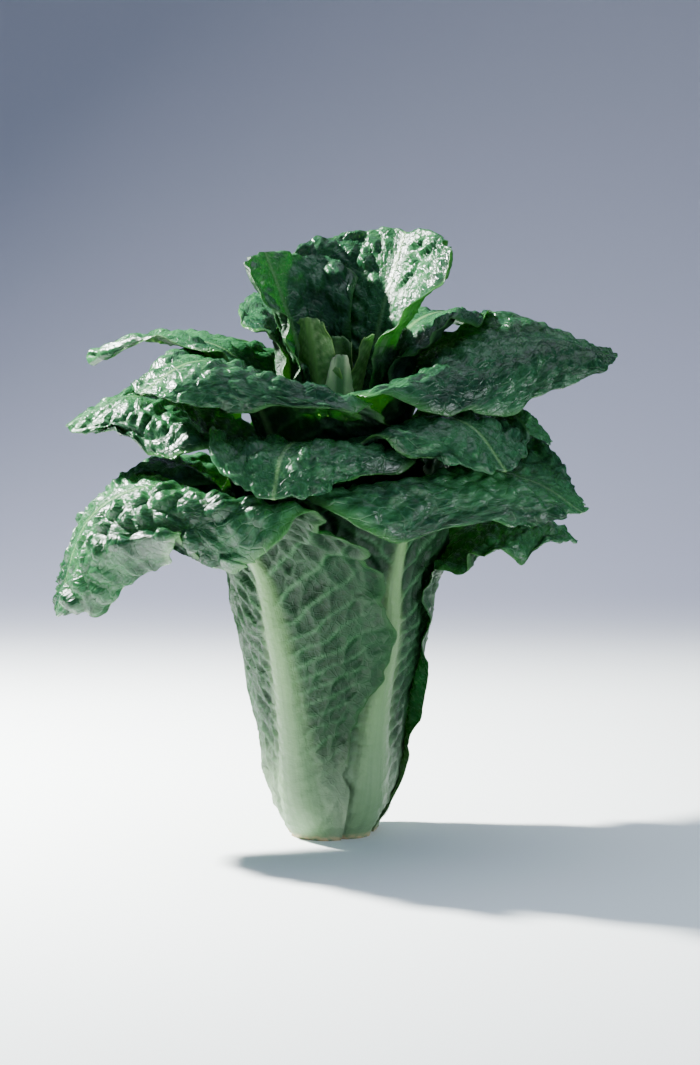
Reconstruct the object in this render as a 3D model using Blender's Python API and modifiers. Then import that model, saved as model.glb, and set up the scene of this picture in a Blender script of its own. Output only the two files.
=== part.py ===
"""A head of romaine lettuce, standing on its trimmed butt.

Metres, +Z up. The origin is the centre of the cut face and -Y is the side with the two bare ribs.
The leaves are listed from the outermost to the innermost. Below the waist each one lies round the
head on those inside it, and above the waist its rib follows a route of its own, out and over.
"""

import math
from dataclasses import dataclass

import bmesh
import bpy
import numpy as np

HEAD_NAME = "romaine_lettuce_head"

# The closed lower half of the head.
BUTT_RADIUS = 0.0165
WAIST_RADIUS = 0.053
WAIST_HEIGHT = 0.115
BODY_SWELL = 0.85
HEART_RADIUS = 0.012
LEAF_PACKING = 1.3
STEM_RADIUS = 0.0065
STEM_TOP_RADIUS = 0.0050
STEM_HEIGHT = 0.062

# Leaf flesh.
BLADE_THICKNESS = 0.0008
RIB_AT_BUTT = 0.0044
RIB_AT_TIP = 0.0006
RIB_THINNING = 0.045
RIB_TAPER = 0.42
RIB_HALF_AT_BUTT = 0.0115
RIB_HALF_AT_TIP = 0.0025
RIB_NARROWING = 1.5
BASE_HALF_WIDTH = 0.0120
WIDEST_AT = 0.70
TIP_ROUNDING = 2.2

# Room between neighbours.
STEM_GAP = 0.0004
LEAF_GAP = 0.0009
RIB_SPREAD = 0.010
BASE_LEAD = 0.024
LOOSE_AFTER = 0.32
FREE_AFTER = 0.7

# How a blade swells from its base, where its sides start to lag behind its tip, and its ruffle: how
# steeply it grows towards the margin, the pitch and height of its second wave, and how far the two
# halves are out of step in each wave.
SWELL_POWER = 0.8
SWEEP_FROM = 0.55
LIFT_STATIONS = (0.0, 0.38, 0.70, 1.0)
FLATTEST_TURN = 0.001
RUFFLE_GROWTH = 2.2
SECOND_WAVE_PITCH = 2.3
SECOND_WAVE_PHASE = 3.0
SECOND_WAVE_SHARE = 0.5
WAVE_STAGGER = 0.9
SECOND_STAGGER = 1.3

# The heart's solid core, as (radius, height) from the top down.
CORE_PROFILE = (
    (0.0, 0.236), (0.0045, 0.228), (0.0085, 0.205), (0.0098, 0.170), (0.0100, 0.115), (0.0062, 0.080),
    (0.0045, 0.0624), (0.0, 0.0624),
)
CORE_STEPS = 20
HEART_BASE_RADIUS = 0.004
HEART_LOOSE_FROM = 0.3
HEART_RIB = 0.0015
HEART_RIB_HALF = 0.004
HEART_RIB_FADE = 0.7

# How finely a leaf is drawn: rows below the waist and above it, and columns from rib to margin.
LOW_POINTS = 3
LOW_ROWS = 8
SHORTEST_ROW = 0.005
CROWN_ROWS = 10
CROWN_CROWDING = 1.35
HALF_COLUMNS = (0.08, 0.2, 0.4, 0.6, 0.8, 1.0)
HEART_ROWS = 9
HEART_HALF_COLUMNS = (0.15, 0.4, 0.7, 1.0)
CURVE_STEPS = 16

# The knife that trims the butt, and how far a leaf base runs past it before the cut.
KNIFE_SIZE = 0.12
KNIFE_OVERRUN = 0.004


@dataclass
class Leaf:
    """One leaf. Angles are in degrees and lengths in metres.

    crown holds (radius, height, turn from azimuth) for points that the rib passes above the waist.
    lift_cw and lift_ccw say how far each half of the blade curls towards its upper face, from rib to
    margin, at the bend, the middle and the tip. Negative values droop. blunt_tip is the tip's width as
    a share of the widest, tip_sweep how far the sides lag behind it, and wrap the widest angle in
    radians that half the blade may cover round the axis.
    """

    name: str
    azimuth: float
    base_height: float
    crown: tuple
    half_width: float
    lift_cw: tuple = (0, 0, 0)
    lift_ccw: tuple = (0, 0, 0)
    ruffle: float = 0.005
    waves: float = 4.0
    phase: float = 0.0
    blunt_tip: float = 0.25
    tip_sweep: float = 0.5
    wrap: float = 2.1


LEAVES = (
    Leaf("leaf_01_front_left", 233, -KNIFE_OVERRUN,
         ((0.060, 0.150, -4), (0.076, 0.178, -14), (0.104, 0.197, -26),
          (0.136, 0.178, -38), (0.153, 0.124, -44)),
         0.086, (0, -12, -20), (-16, -60, -60), ruffle=0.008, waves=4.5, phase=0.1, blunt_tip=0.4),
    Leaf("leaf_02_right", 40, -KNIFE_OVERRUN,
         ((0.054, 0.134, -6), (0.066, 0.156, -14), (0.088, 0.170, -22),
          (0.114, 0.171, -28), (0.134, 0.159, -30)),
         0.068, (0, -35, -45), (0, 0, 0), ruffle=0.006, waves=4.5, phase=0.6, blunt_tip=0.4),
    Leaf("leaf_03_front_right", 306, -KNIFE_OVERRUN,
         ((0.054, 0.152, 0), (0.067, 0.190, 4), (0.094, 0.207, 14), (0.121, 0.200, 24), (0.143, 0.184, 29)),
         0.080, (0, -44, -70), (0, 4, -20), phase=0.35, blunt_tip=0.45),
    Leaf("leaf_04_left", 164, -KNIFE_OVERRUN,
         ((0.053, 0.146, 0), (0.067, 0.177, 2), (0.086, 0.199, 4), (0.103, 0.203, 6), (0.117, 0.192, 8)),
         0.068, phase=0.8),
    Leaf("leaf_05_back", 92, 0.014,
         ((0.050, 0.151, 0), (0.064, 0.187, 0), (0.090, 0.213, 0), (0.115, 0.218, 0), (0.137, 0.204, 0)),
         0.072, phase=0.2),
    Leaf("leaf_06_far_left", 186, 0.012,
         ((0.046, 0.158, -1), (0.058, 0.200, -3), (0.082, 0.231, -5),
          (0.113, 0.240, -7), (0.147, 0.224, -8)),
         0.062, (0, 0, 0), (0, -44, -85), ruffle=0.006, waves=4.5, phase=0.45, blunt_tip=0.6),
    Leaf("leaf_07_far_right", 22, 0.016,
         ((0.045, 0.156, -2), (0.059, 0.194, -4), (0.081, 0.224, -8),
          (0.104, 0.230, -10), (0.121, 0.213, -10)),
         0.066, (0, -24, -66), (0, 0, 0), ruffle=0.004, waves=3.5, phase=0.7, blunt_tip=0.5),
    Leaf("leaf_08_front", 262, 0.020,
         ((0.041, 0.162, -1), (0.053, 0.201, -3), (0.076, 0.222, -6),
          (0.099, 0.218, -8), (0.115, 0.197, -8)),
         0.068, (0, 4, -10), (0, -16, -60), ruffle=0.004, waves=3.5, phase=0.15, blunt_tip=0.5),
    Leaf("leaf_09_front_right", 322, 0.024,
         ((0.037, 0.168, 0), (0.048, 0.210, -2), (0.070, 0.232, -4),
          (0.097, 0.229, -4), (0.119, 0.208, -4)),
         0.060, (0, -24, -75), (0, 0, 0), ruffle=0.004, waves=4.5, phase=0.55, blunt_tip=0.55),
    Leaf("leaf_10_upper_left", 225, 0.028,
         ((0.034, 0.170, -2), (0.0445, 0.223, -5), (0.066, 0.257, -9),
          (0.092, 0.262, -12), (0.120, 0.247, -13)),
         0.071, (0, 0, 0), (0, -32, -95), ruffle=0.003, phase=0.9, blunt_tip=0.7),
    Leaf("leaf_11_upper_right", 352, 0.032,
         ((0.031, 0.172, 0), (0.041, 0.233, 2), (0.067, 0.265, 4), (0.110, 0.272, 5), (0.152, 0.262, 5)),
         0.072, (0, -46, -90), (0, 4, 0), ruffle=0.003, phase=0.3, blunt_tip=0.5),
    Leaf("leaf_12_back_left", 150, 0.036,
         ((0.028, 0.174, 2), (0.039, 0.230, 4), (0.064, 0.263, 8), (0.104, 0.270, 12), (0.140, 0.261, 15)),
         0.062, ruffle=0.003, phase=0.65),
    Leaf("leaf_13_back_right", 50, 0.040,
         ((0.0245, 0.176, 0), (0.0345, 0.238, 0), (0.059, 0.272, 0), (0.092, 0.282, 0), (0.120, 0.272, 0)),
         0.062, ruffle=0.004, phase=0.0),
    Leaf("leaf_14_upper_back", 105, 0.0425,
         ((0.021, 0.178, 0), (0.031, 0.244, 0), (0.054, 0.280, 0), (0.085, 0.294, 0), (0.112, 0.286, 0)),
         0.058, ruffle=0.003, phase=0.5),
    Leaf("leaf_15_top_right", 50, 0.048,
         ((0.017, 0.180, 0), (0.0255, 0.232, 0), (0.036, 0.275, 0), (0.049, 0.306, 0), (0.060, 0.329, 0)),
         0.080, (0, 0, -20), (0, 0, -20), ruffle=0.003, phase=0.25, blunt_tip=0.8, tip_sweep=0.15, wrap=1.7),
    Leaf("leaf_16_top_left", 142, 0.052,
         ((0.0135, 0.180, 0), (0.0185, 0.226, 0), (0.0255, 0.264, 0), (0.037, 0.292, 0), (0.049, 0.317, 0)),
         0.060, (0, 4, 0), (0, 0, -20), ruffle=0.003, phase=0.75, blunt_tip=0.75, tip_sweep=0.2, wrap=1.2),
)

HEART_LEAVES = (
    Leaf("cream", 278, 0.150, ((0.0075, 0.205, 0), (0.013, 0.240, 0), (0.018, 0.264, 0)),
         0.009, ruffle=0.0006, waves=3.0, phase=0.2, blunt_tip=0.5),
    Leaf("frilly", 222, 0.150, ((0.0070, 0.205, 0), (0.012, 0.245, 0), (0.022, 0.284, 6)),
         0.015, ruffle=0.0020, waves=5.0, phase=0.6, blunt_tip=0.7, tip_sweep=0.3, wrap=1.1),
    Leaf("folded", 350, 0.150, ((0.0070, 0.205, 0), (0.013, 0.245, 0), (0.020, 0.274, 0)),
         0.013, ruffle=0.0015, waves=4.0, phase=0.4, blunt_tip=0.6, tip_sweep=0.3, wrap=1.1),
    Leaf("hidden", 85, 0.150, ((0.0070, 0.205, 0), (0.010, 0.240, 0), (0.014, 0.272, 0)),
         0.013, ruffle=0.0015, waves=4.0, phase=0.8, blunt_tip=0.6),
)


def smoothstep(x):
    """0 to 1 as x goes from 0 to 1, level at both ends."""
    x = np.clip(x, 0, 1)
    return x * x * (3 - 2 * x)


def smooth_curve(points):
    """A finely stepped Catmull-Rom curve through the rows of points."""
    points = np.array(points, float)
    padded = np.vstack([2 * points[0] - points[1], points, 2 * points[-1] - points[-2]])
    at = np.linspace(0, len(points) - 1, CURVE_STEPS * (len(points) - 1) + 1)
    i = np.minimum(at.astype(int), len(points) - 2)
    f = (at - i)[:, None]
    a, b, c, d = padded[i], padded[i + 1], padded[i + 2], padded[i + 3]
    bend = (2 * a - 5 * b + 4 * c - d) * f**2 + (3 * b - a - 3 * c + d) * f**3
    return (2 * b + (c - a) * f + bend) / 2


def body_radius(height):
    """Outside radius of the closed head, without the ribs."""
    share = np.clip(height / WAIST_HEIGHT, 0, None) ** BODY_SWELL
    return BUTT_RADIUS - RIB_AT_BUTT / 2 + (WAIST_RADIUS - BUTT_RADIUS + RIB_AT_BUTT / 2) * share


def stem_radius(height):
    share = np.clip(height / STEM_HEIGHT, 0, 1)
    return STEM_RADIUS + (STEM_TOP_RADIUS - STEM_RADIUS) * share


def planned_radius(order, height):
    """Inner face of a leaf if nothing inside it stood in the way. The outer leaves lie closest."""
    rise = smoothstep(height / WAIST_HEIGHT)
    inside = stem_radius(height) + STEM_GAP + (HEART_RADIUS - STEM_TOP_RADIUS) * rise
    outside = body_radius(height) - BLADE_THICKNESS
    return outside + (inside - outside) * (order / (len(LEAVES) - 1)) ** LEAF_PACKING


def rib_height(order, height):
    """How far the rib of a leaf stands out of its blade, at a height below the crown."""
    share = np.clip(height / WAIST_HEIGHT, 0, 1)
    return RIB_AT_BUTT * (1 - RIB_TAPER * share) * (1 - RIB_THINNING * order)


def nest_radius(order, angle, height):
    """Inner face of a leaf at this angle and height, pushed out by the ribs and blades inside it."""
    last = len(LEAVES) - 1
    radius = np.maximum(planned_radius(last, height), stem_radius(height) + STEM_GAP)
    for inner in range(last, order, -1):
        leaf = LEAVES[inner]
        there = smoothstep((height - leaf.base_height + BASE_LEAD) / BASE_LEAD)
        away = np.abs((angle - math.radians(leaf.azimuth) + math.pi) % (2 * math.pi) - math.pi) * radius
        across = np.clip(away / (RIB_HALF_AT_BUTT + RIB_SPREAD), 0, 1)
        rib = rib_height(inner, height) * (1 + np.cos(math.pi * across)) / 2
        room = (BLADE_THICKNESS + LEAF_GAP + rib) * there
        radius = np.maximum(planned_radius(inner - 1, height), radius + room)
    return radius


def half_width(leaf, s):
    """Half the blade's width: a narrow base, widest at WIDEST_AT, and a blunt round tip."""
    swell = np.clip(s / WIDEST_AT, 0, 1) ** SWELL_POWER
    swell = BASE_HALF_WIDTH + (leaf.half_width - BASE_HALF_WIDTH) * swell
    over = np.clip((s - WIDEST_AT) / (1 - WIDEST_AT), 0, 1) ** TIP_ROUNDING
    return swell * np.sqrt(1 - (1 - leaf.blunt_tip**2) * over)


def rib_route(order):
    """The rib's line as rows of (radius, height, azimuth in radians), the share of its length covered
    at each, and the share at the waist."""
    leaf = LEAVES[order]
    low = np.linspace(leaf.base_height, WAIST_HEIGHT, LOW_POINTS + 1)
    points = [(float(planned_radius(order, z)), z, 0.0) for z in low] + list(leaf.crown)
    curve = smooth_curve(points)
    curve[:, 2] = np.radians(leaf.azimuth + curve[:, 2])
    length = route_length(curve)
    return curve, length, length[LOW_POINTS * CURVE_STEPS] / length[-1]


def route_length(curve):
    """Distance covered along a route at each of its points."""
    radius, height, angle = curve.T
    line = np.column_stack([radius * np.cos(angle), radius * np.sin(angle), height])
    return np.concatenate([[0], np.cumsum(np.linalg.norm(np.diff(line, axis=0), axis=1))])


def leaf_rows(order):
    """Rows from base to tip. Below the waist all leaves have theirs at the same heights."""
    curve, length, at_waist = rib_route(order)
    heights = np.linspace(0, WAIST_HEIGHT, LOW_ROWS + 1)
    heights = heights[heights > LEAVES[order].base_height + SHORTEST_ROW]
    end = LOW_POINTS * CURVE_STEPS + 1
    low = np.interp(heights, curve[:end, 1], length[:end] / length[-1])
    x = np.linspace(0, 1, CROWN_ROWS)[1:]
    crown = at_waist + (1 - at_waist) * (1 - (1 - x) ** CROWN_CROWDING)
    return np.concatenate([[0], low, crown])


def along(stations, values, s):
    """Smooth interpolation of values given at stations."""
    curve = smooth_curve(np.column_stack([stations, values]))
    return np.interp(s, curve[:, 0], curve[:, 1])


def leaf_surface(order, s, t):
    """Points and thickness of an outer leaf's blade, for rows s from base to tip and columns t."""
    curve, length, at_waist = rib_route(order)
    share = length / length[-1]

    def push(theta, height):
        level = np.clip(height, None, WAIST_HEIGHT)
        return nest_radius(order, theta, level) - planned_radius(order, level)

    points, u_wide = swept_blade(LEAVES[order], curve, length, at_waist, s, t, push)
    above_waist = np.clip((s - at_waist) / (1 - at_waist), 0, 1)
    low = rib_height(order, np.interp(s, share, curve[:, 1]))
    high = rib_height(order, WAIST_HEIGHT) * (1 - above_waist) + RIB_AT_TIP * above_waist
    rib = np.where(s < at_waist, low, high)
    rib_half = RIB_HALF_AT_TIP + (RIB_HALF_AT_BUTT - RIB_HALF_AT_TIP) * (1 - s) ** RIB_NARROWING
    bump = np.clip(1 - (u_wide / rib_half[:, None]) ** 2, 0, 1)
    return points, BLADE_THICKNESS + rib[:, None] * bump


def swept_blade(leaf, curve, length, at_waist, s, t, push):
    """Points of a blade, and how far each lies from the rib.

    The blade lies on the surface that its rib's route would sweep round the head's axis. Each half
    curls off that surface by its lift, with a ruffle that grows towards the margin. push gives how
    far the leaves inside hold it out, which fades above the waist.
    """
    share = length / length[-1]
    slope = np.gradient(curve[:, :2], length, axis=0)
    slope /= np.linalg.norm(slope, axis=1, keepdims=True)
    u = np.abs(t)[None, :]
    sign = np.where(t < 0, -1.0, 1.0)[None, :]

    wide = half_width(leaf, s)[:, None]
    lag = smoothstep((s - SWEEP_FROM) / (1 - SWEEP_FROM))[:, None]
    at = s[:, None] - leaf.tip_sweep * wide / length[-1] * u**2 * lag
    radius, height, angle = (np.interp(at, share, curve[:, i]) for i in range(3))
    ahead_r, ahead_z = (np.interp(at, share, slope[:, i]) for i in range(2))
    loose = smoothstep((at - at_waist) / (LOOSE_AFTER * (1 - at_waist)))
    free = smoothstep((at - at_waist) / (FREE_AFTER * (1 - at_waist)))
    wide = np.minimum(wide, leaf.wrap * radius)

    stations = at_waist + (1 - at_waist) * np.array(LIFT_STATIONS)
    cw = along(stations, [0, *np.radians(leaf.lift_cw)], np.maximum(at, at_waist))
    ccw = along(stations, [0, *np.radians(leaf.lift_ccw)], np.maximum(at, at_waist))
    turn = np.where(t[None, :] < 0, cw, ccw)
    turn = np.where(np.abs(turn) < FLATTEST_TURN, FLATTEST_TURN, turn)
    across = wide * np.sin(turn * u) / turn
    above = wide * (1 - np.cos(turn * u)) / turn
    first = 2 * math.pi * (leaf.waves * s[:, None] + leaf.phase)
    second = 2 * math.pi * (SECOND_WAVE_PITCH * leaf.waves * s[:, None] + SECOND_WAVE_PHASE * leaf.phase)
    wave = np.sin(first + WAVE_STAGGER * sign) + SECOND_WAVE_SHARE * np.sin(second - SECOND_STAGGER * sign)
    above = above + leaf.ruffle * u**RUFFLE_GROWTH * wave * free

    theta = angle + sign * across / radius
    out = radius + push(theta, height) * (1 - loose) - above * ahead_z
    points = np.stack([out * np.cos(theta), out * np.sin(theta), height + above * ahead_r], axis=-1)
    return points, u * wide


def leaf_columns(half_columns):
    half = np.array(half_columns)
    return np.concatenate([-half[::-1], [0.0], half])


def leaf_object(name, points, thickness, material):
    """A blade as an open surface with Solidify. The rib is where the rib group makes it thick."""
    rows, columns = points.shape[:2]
    index = np.arange(rows * columns).reshape(rows, columns)
    a, b, c, d = index[:-1, :-1], index[:-1, 1:], index[1:, 1:], index[1:, :-1]
    faces = np.concatenate([np.stack([a, b, c], -1).reshape(-1, 3), np.stack([a, c, d], -1).reshape(-1, 3)])
    mesh = bpy.data.meshes.new(name)
    mesh.from_pydata(points.reshape(-1, 3).tolist(), [], faces.tolist())
    mesh.materials.append(material)
    mesh.shade_smooth()
    obj = bpy.data.objects.new(name, mesh)
    group = obj.vertex_groups.new(name="rib")
    thickest = float(thickness.max())
    for vertex, weight in enumerate((thickness / thickest).reshape(-1)):
        group.add([vertex], float(weight), "REPLACE")
    solid = obj.modifiers.new("Flesh", "SOLIDIFY")
    solid.thickness = thickest
    solid.offset = 1.0
    solid.vertex_group = group.name
    return obj


def new_material(name, colour, roughness):
    material = bpy.data.materials.new(name)
    material.use_nodes = True
    shader = material.node_tree.nodes["Principled BSDF"]
    shader.inputs["Base Color"].default_value = (*colour, 1.0)
    shader.inputs["Roughness"].default_value = roughness
    shader.inputs["Metallic"].default_value = 0.0
    material.diffuse_color = (*colour, 1.0)
    return material


def make_leaves(collection, material, knife):
    """The outer leaves, each trimmed by the knife where its base runs past the cut."""
    for order, leaf in enumerate(LEAVES):
        points, thickness = leaf_surface(order, leaf_rows(order), leaf_columns(HALF_COLUMNS))
        obj = leaf_object(leaf.name, points, thickness, material)
        collection.objects.link(obj)
        if leaf.base_height < 0:
            trim = obj.modifiers.new("Trim", "BOOLEAN")
            trim.operation = "DIFFERENCE"
            trim.object = knife


def make_stem(collection, material):
    """The short stem: a tapered solid whose flat foot is the cut face."""
    mesh = bpy.data.meshes.new("stem")
    shape = bmesh.new()
    bmesh.ops.create_cone(
        shape, cap_ends=True, segments=24, radius1=STEM_RADIUS, radius2=STEM_TOP_RADIUS, depth=STEM_HEIGHT
    )
    bmesh.ops.translate(shape, verts=shape.verts, vec=(0, 0, STEM_HEIGHT / 2))
    shape.to_mesh(mesh)
    shape.free()
    mesh.materials.append(material)
    obj = bpy.data.objects.new("stem", mesh)
    collection.objects.link(obj)


def turned_solid(name, profile, steps):
    """A solid turned round the Z axis from (radius, height) pairs that run from the top down."""
    mesh = bpy.data.meshes.new(name)
    mesh.from_pydata([(r, 0.0, z) for r, z in profile], [(i, i + 1) for i in range(len(profile) - 1)], [])
    obj = bpy.data.objects.new(name, mesh)
    screw = obj.modifiers.new("Turn", "SCREW")
    screw.angle = 2 * math.pi
    screw.steps = steps
    screw.render_steps = steps
    screw.use_merge_vertices = True
    screw.merge_threshold = 0.00001
    return obj


def make_heart(collection, material):
    """The young leaves in the middle, joined to one core."""
    core = turned_solid("heart", CORE_PROFILE, CORE_STEPS)
    core.data.materials.append(material)
    collection.objects.link(core)
    young = bpy.data.collections.new("young_leaves")
    bpy.context.scene.collection.children.link(young)
    rows = np.linspace(0, 1, HEART_ROWS)
    columns = leaf_columns(HEART_HALF_COLUMNS)
    for leaf in HEART_LEAVES:
        points = [(HEART_BASE_RADIUS, leaf.base_height, 0.0), *leaf.crown]
        curve = smooth_curve(points)
        curve[:, 2] = np.radians(leaf.azimuth + curve[:, 2])
        length = route_length(curve)
        blade, across = swept_blade(
            leaf, curve, length, HEART_LOOSE_FROM, rows, columns, lambda theta, height: 0.0
        )
        rib = HEART_RIB * (1 - HEART_RIB_FADE * rows)[:, None]
        rib = rib * np.clip(1 - (across / HEART_RIB_HALF) ** 2, 0, 1)
        obj = leaf_object(leaf.name, blade, BLADE_THICKNESS + rib, material)
        young.objects.link(obj)
    join = core.modifiers.new("Join", "BOOLEAN")
    join.operation = "UNION"
    join.operand_type = "COLLECTION"
    join.collection = young
    join.solver = "MANIFOLD"
    apply_modifiers(core)
    for obj in list(young.objects):
        bpy.data.objects.remove(obj, do_unlink=True)
    bpy.data.collections.remove(young)


def apply_modifiers(obj):
    """Puts the result of an object's modifiers into its own mesh."""
    bpy.context.view_layer.update()
    depsgraph = bpy.context.evaluated_depsgraph_get()
    obj.data = bpy.data.meshes.new_from_object(obj.evaluated_get(depsgraph))
    obj.modifiers.clear()


def make_knife(collection):
    """A block below the cut face that takes off what runs past it."""
    mesh = bpy.data.meshes.new("knife")
    shape = bmesh.new()
    bmesh.ops.create_cube(shape, size=KNIFE_SIZE)
    shape.to_mesh(mesh)
    shape.free()
    knife = bpy.data.objects.new("knife", mesh)
    knife.location.z = -KNIFE_SIZE / 2
    knife.hide_render = True
    knife.display_type = "WIRE"
    collection.objects.link(knife)
    return knife


def main():
    for obj in list(bpy.data.objects):
        bpy.data.objects.remove(obj, do_unlink=True)
    head = bpy.data.collections.new(HEAD_NAME)
    tools = bpy.data.collections.new("cutters")
    bpy.context.scene.collection.children.link(head)
    bpy.context.scene.collection.children.link(tools)
    tools.hide_render = True
    leaf_green = new_material("leaf_green", (0.05, 0.16, 0.05), 0.4)
    leaf_pale = new_material("leaf_pale", (0.42, 0.55, 0.20), 0.45)
    stem_white = new_material("stem_white", (0.72, 0.76, 0.55), 0.5)
    knife = make_knife(tools)
    make_stem(head, stem_white)
    make_leaves(head, leaf_green, knife)
    make_heart(head, leaf_pale)


main()
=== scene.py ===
"""Looks of a romaine lettuce head that stands on its trimmed butt.

Each leaf is a thin closed shell worked out on a grid. Its upper face lies on the surface that the
rib's route would sweep round the head's axis, raised between the veins, and its underside carries
the rib and the veins.
"""

import logging
import math
from collections.abc import Callable
from dataclasses import dataclass
from enum import Enum

import bpy
import numpy as np
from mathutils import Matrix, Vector


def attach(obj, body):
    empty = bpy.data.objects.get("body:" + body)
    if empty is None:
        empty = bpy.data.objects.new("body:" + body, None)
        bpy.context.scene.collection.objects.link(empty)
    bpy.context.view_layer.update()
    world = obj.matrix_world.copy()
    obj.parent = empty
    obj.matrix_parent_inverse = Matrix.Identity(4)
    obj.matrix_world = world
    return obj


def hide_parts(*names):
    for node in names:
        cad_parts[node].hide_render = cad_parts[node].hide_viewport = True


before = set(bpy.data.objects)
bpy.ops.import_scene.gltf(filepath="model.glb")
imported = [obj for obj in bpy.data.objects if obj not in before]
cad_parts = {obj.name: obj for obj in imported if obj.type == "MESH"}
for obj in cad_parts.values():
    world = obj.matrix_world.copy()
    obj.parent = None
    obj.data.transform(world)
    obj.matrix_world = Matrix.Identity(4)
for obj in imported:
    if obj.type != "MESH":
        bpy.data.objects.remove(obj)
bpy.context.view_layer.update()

LOG = logging.getLogger("romaine")

Numbers = np.ndarray | float
Push = Callable[[np.ndarray, np.ndarray], Numbers]
Socket = bpy.types.NodeSocket
Value = Socket | float
Colour = tuple[float, float, float]
Tone = Socket | Colour
Place = tuple[float, float, float]

# Millimetres in a metre.
MM = 1000.0
# Steps between two points of a curve, and points of a rib's route from its base to the waist.
CURVE_STEPS = 16
BASE_POINTS = 4
# Millimetres of leaf to one unit of its map.
MAP_MM = 100.0
# How far up from the cut face a leaf and the stem are browned, in metres.
LEAF_CUT_HEIGHT = 0.004
STEM_CUT_HEIGHT = 0.003


class Slot(Enum):
    """The record's material slots."""

    GREEN = "leaf_green"
    PALE = "leaf_pale"
    WHITE = "stem_white"


def smoothstep(x: np.ndarray) -> np.ndarray:
    """0 to 1 as x goes from 0 to 1, level at both ends: 3x^2 - 2x^3 on x held within 0 and 1."""
    x = np.clip(x, 0, 1)
    return x * x * (3 - 2 * x)


def rise(x: np.ndarray, start: Numbers, end: Numbers) -> np.ndarray:
    """0 to 1 as x goes from start to end, which may be the smaller, level at both ends."""
    return smoothstep((x - start) / (end - start))


def smooth_curve(points: list, steps: int = CURVE_STEPS) -> np.ndarray:
    """A finely stepped Catmull-Rom curve through the rows of points.

    Args:
        points: Rows of numbers, one row per control point.
        steps: Steps between two control points.

    Returns:
        Rows of the curve, which passes through each control point.
    """
    points = np.array(points, float)
    padded = np.vstack([2 * points[0] - points[1], points, 2 * points[-1] - points[-2]])
    at = np.linspace(0, len(points) - 1, steps * (len(points) - 1) + 1)
    i = np.minimum(at.astype(int), len(points) - 2)
    f = (at - i)[:, None]
    a, b, c, d = padded[i], padded[i + 1], padded[i + 2], padded[i + 3]
    cubic = (2 * a - 5 * b + 4 * c - d) * f**2 + (3 * b - a - 3 * c + d) * f**3
    return 0.5 * (2 * b + (c - a) * f + cubic)


def along(stations: np.ndarray, values: list, s: np.ndarray) -> np.ndarray:
    """Smooth interpolation of values given at stations.

    Args:
        stations: Rising places of the values.
        values: One value per station.
        s: Places to read.

    Returns:
        The value at each s, on the Catmull-Rom curve through the stations.
    """
    curve = smooth_curve(np.column_stack([stations, values]))
    return np.interp(s, curve[:, 0], curve[:, 1])


def scatter(i: np.ndarray, j: np.ndarray, seed: float) -> np.ndarray:
    """A repeatable number from 0 to 1 for each pair.

    Args:
        i: First whole number of the pair.
        j: Second whole number of the pair.
        seed: Picks the set of numbers.

    Returns:
        The fraction that is left of 43758.5 sin(127.1 i + 311.7 j + 74.7 seed).
    """
    value = np.sin(i * 127.1 + j * 311.7 + seed * 74.7) * 43758.5453
    return value - np.floor(value)


def cells(x: np.ndarray, y: np.ndarray, seed: float) -> tuple[np.ndarray, np.ndarray]:
    """Cellular pattern from one scattered point in each unit square of the x, y plane.

    Args:
        x: First coordinate, in cells.
        y: Second coordinate, in cells.
        seed: Picks the pattern.

    Returns:
        The distance to the second nearest point less that to the nearest, which is 0 on the border
        between cells, and a number from 0 to 1 for the nearest point's cell.
    """
    nearest = np.full(x.shape, 9.0)
    second = np.full(x.shape, 9.0)
    owner = np.zeros(x.shape)
    for di in (-1, 0, 1):
        for dj in (-1, 0, 1):
            i, j = np.floor(x) + di, np.floor(y) + dj
            px, py = i + scatter(i, j, seed), j + scatter(i, j, seed + 1.7)
            away = np.hypot(px - x, py - y)
            owner = np.where(away < nearest, scatter(i, j, seed + 3.1), owner)
            second = np.minimum(second, np.maximum(away, nearest))
            nearest = np.minimum(nearest, away)
    return second - nearest, owner


def waves(x: np.ndarray, seed: float, count: int = 4) -> np.ndarray:
    """An irregular wave between about -1 and 1.

    Args:
        x: Distance, in lengths of the longest wave.
        seed: Picks the wave.
        count: How many sines of rising pitch and falling height are summed.

    Returns:
        The sum over n of sin(2 pi (x p + q)) / (1 + 0.8 n) / 1.9, p and q being set by n and seed.
    """
    total = np.zeros(np.shape(x))
    for n in range(count):
        pitch = 1.0 + 0.83 * n + 0.21 * np.sin(seed + n)
        total = total + np.sin(2 * math.pi * (x * pitch + seed * (0.37 + 0.61 * n))) / (1 + 0.8 * n)
    return total / 1.9


def drift(x: np.ndarray, seed: float) -> np.ndarray:
    """An irregular wave between 0 and 1, which the formulas below call D, or D' at another pace.

    Args:
        x: Distance, in steps of about one hill or dip each.
        seed: Picks the wave.

    Returns:
        The scattered numbers of the whole steps on each side of x, blended smoothly.
    """
    step = np.floor(x)
    share = smoothstep(x - step)
    return scatter(step, 0 * step, seed) * (1 - share) + scatter(step + 1, 0 * step, seed) * share


@dataclass(frozen=True)
class LeafForm:
    """The route and outline of one leaf. Angles are in degrees and lengths in metres.

    crown holds (radius, height, turn from azimuth) for points that the rib passes above the waist.
    lift_cw and lift_ccw say how far each half of the blade curls towards its upper face, from rib to
    margin, at the bend, the middle and the tip. Negative values droop. blunt_tip is the tip's width as
    a share of the widest, tip_sweep how far the sides lag behind it, and wrap the widest angle in
    radians that half the blade may cover round the axis.
    """

    name: str
    azimuth: float
    base_height: float
    crown: tuple[Place, ...]
    half_width: float
    lift_cw: Place = (0, 0, 0)
    lift_ccw: Place = (0, 0, 0)
    ruffle: float = 0.005
    waves: float = 4.0
    phase: float = 0.0
    blunt_tip: float = 0.25
    tip_sweep: float = 0.5
    wrap: float = 2.1


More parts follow.
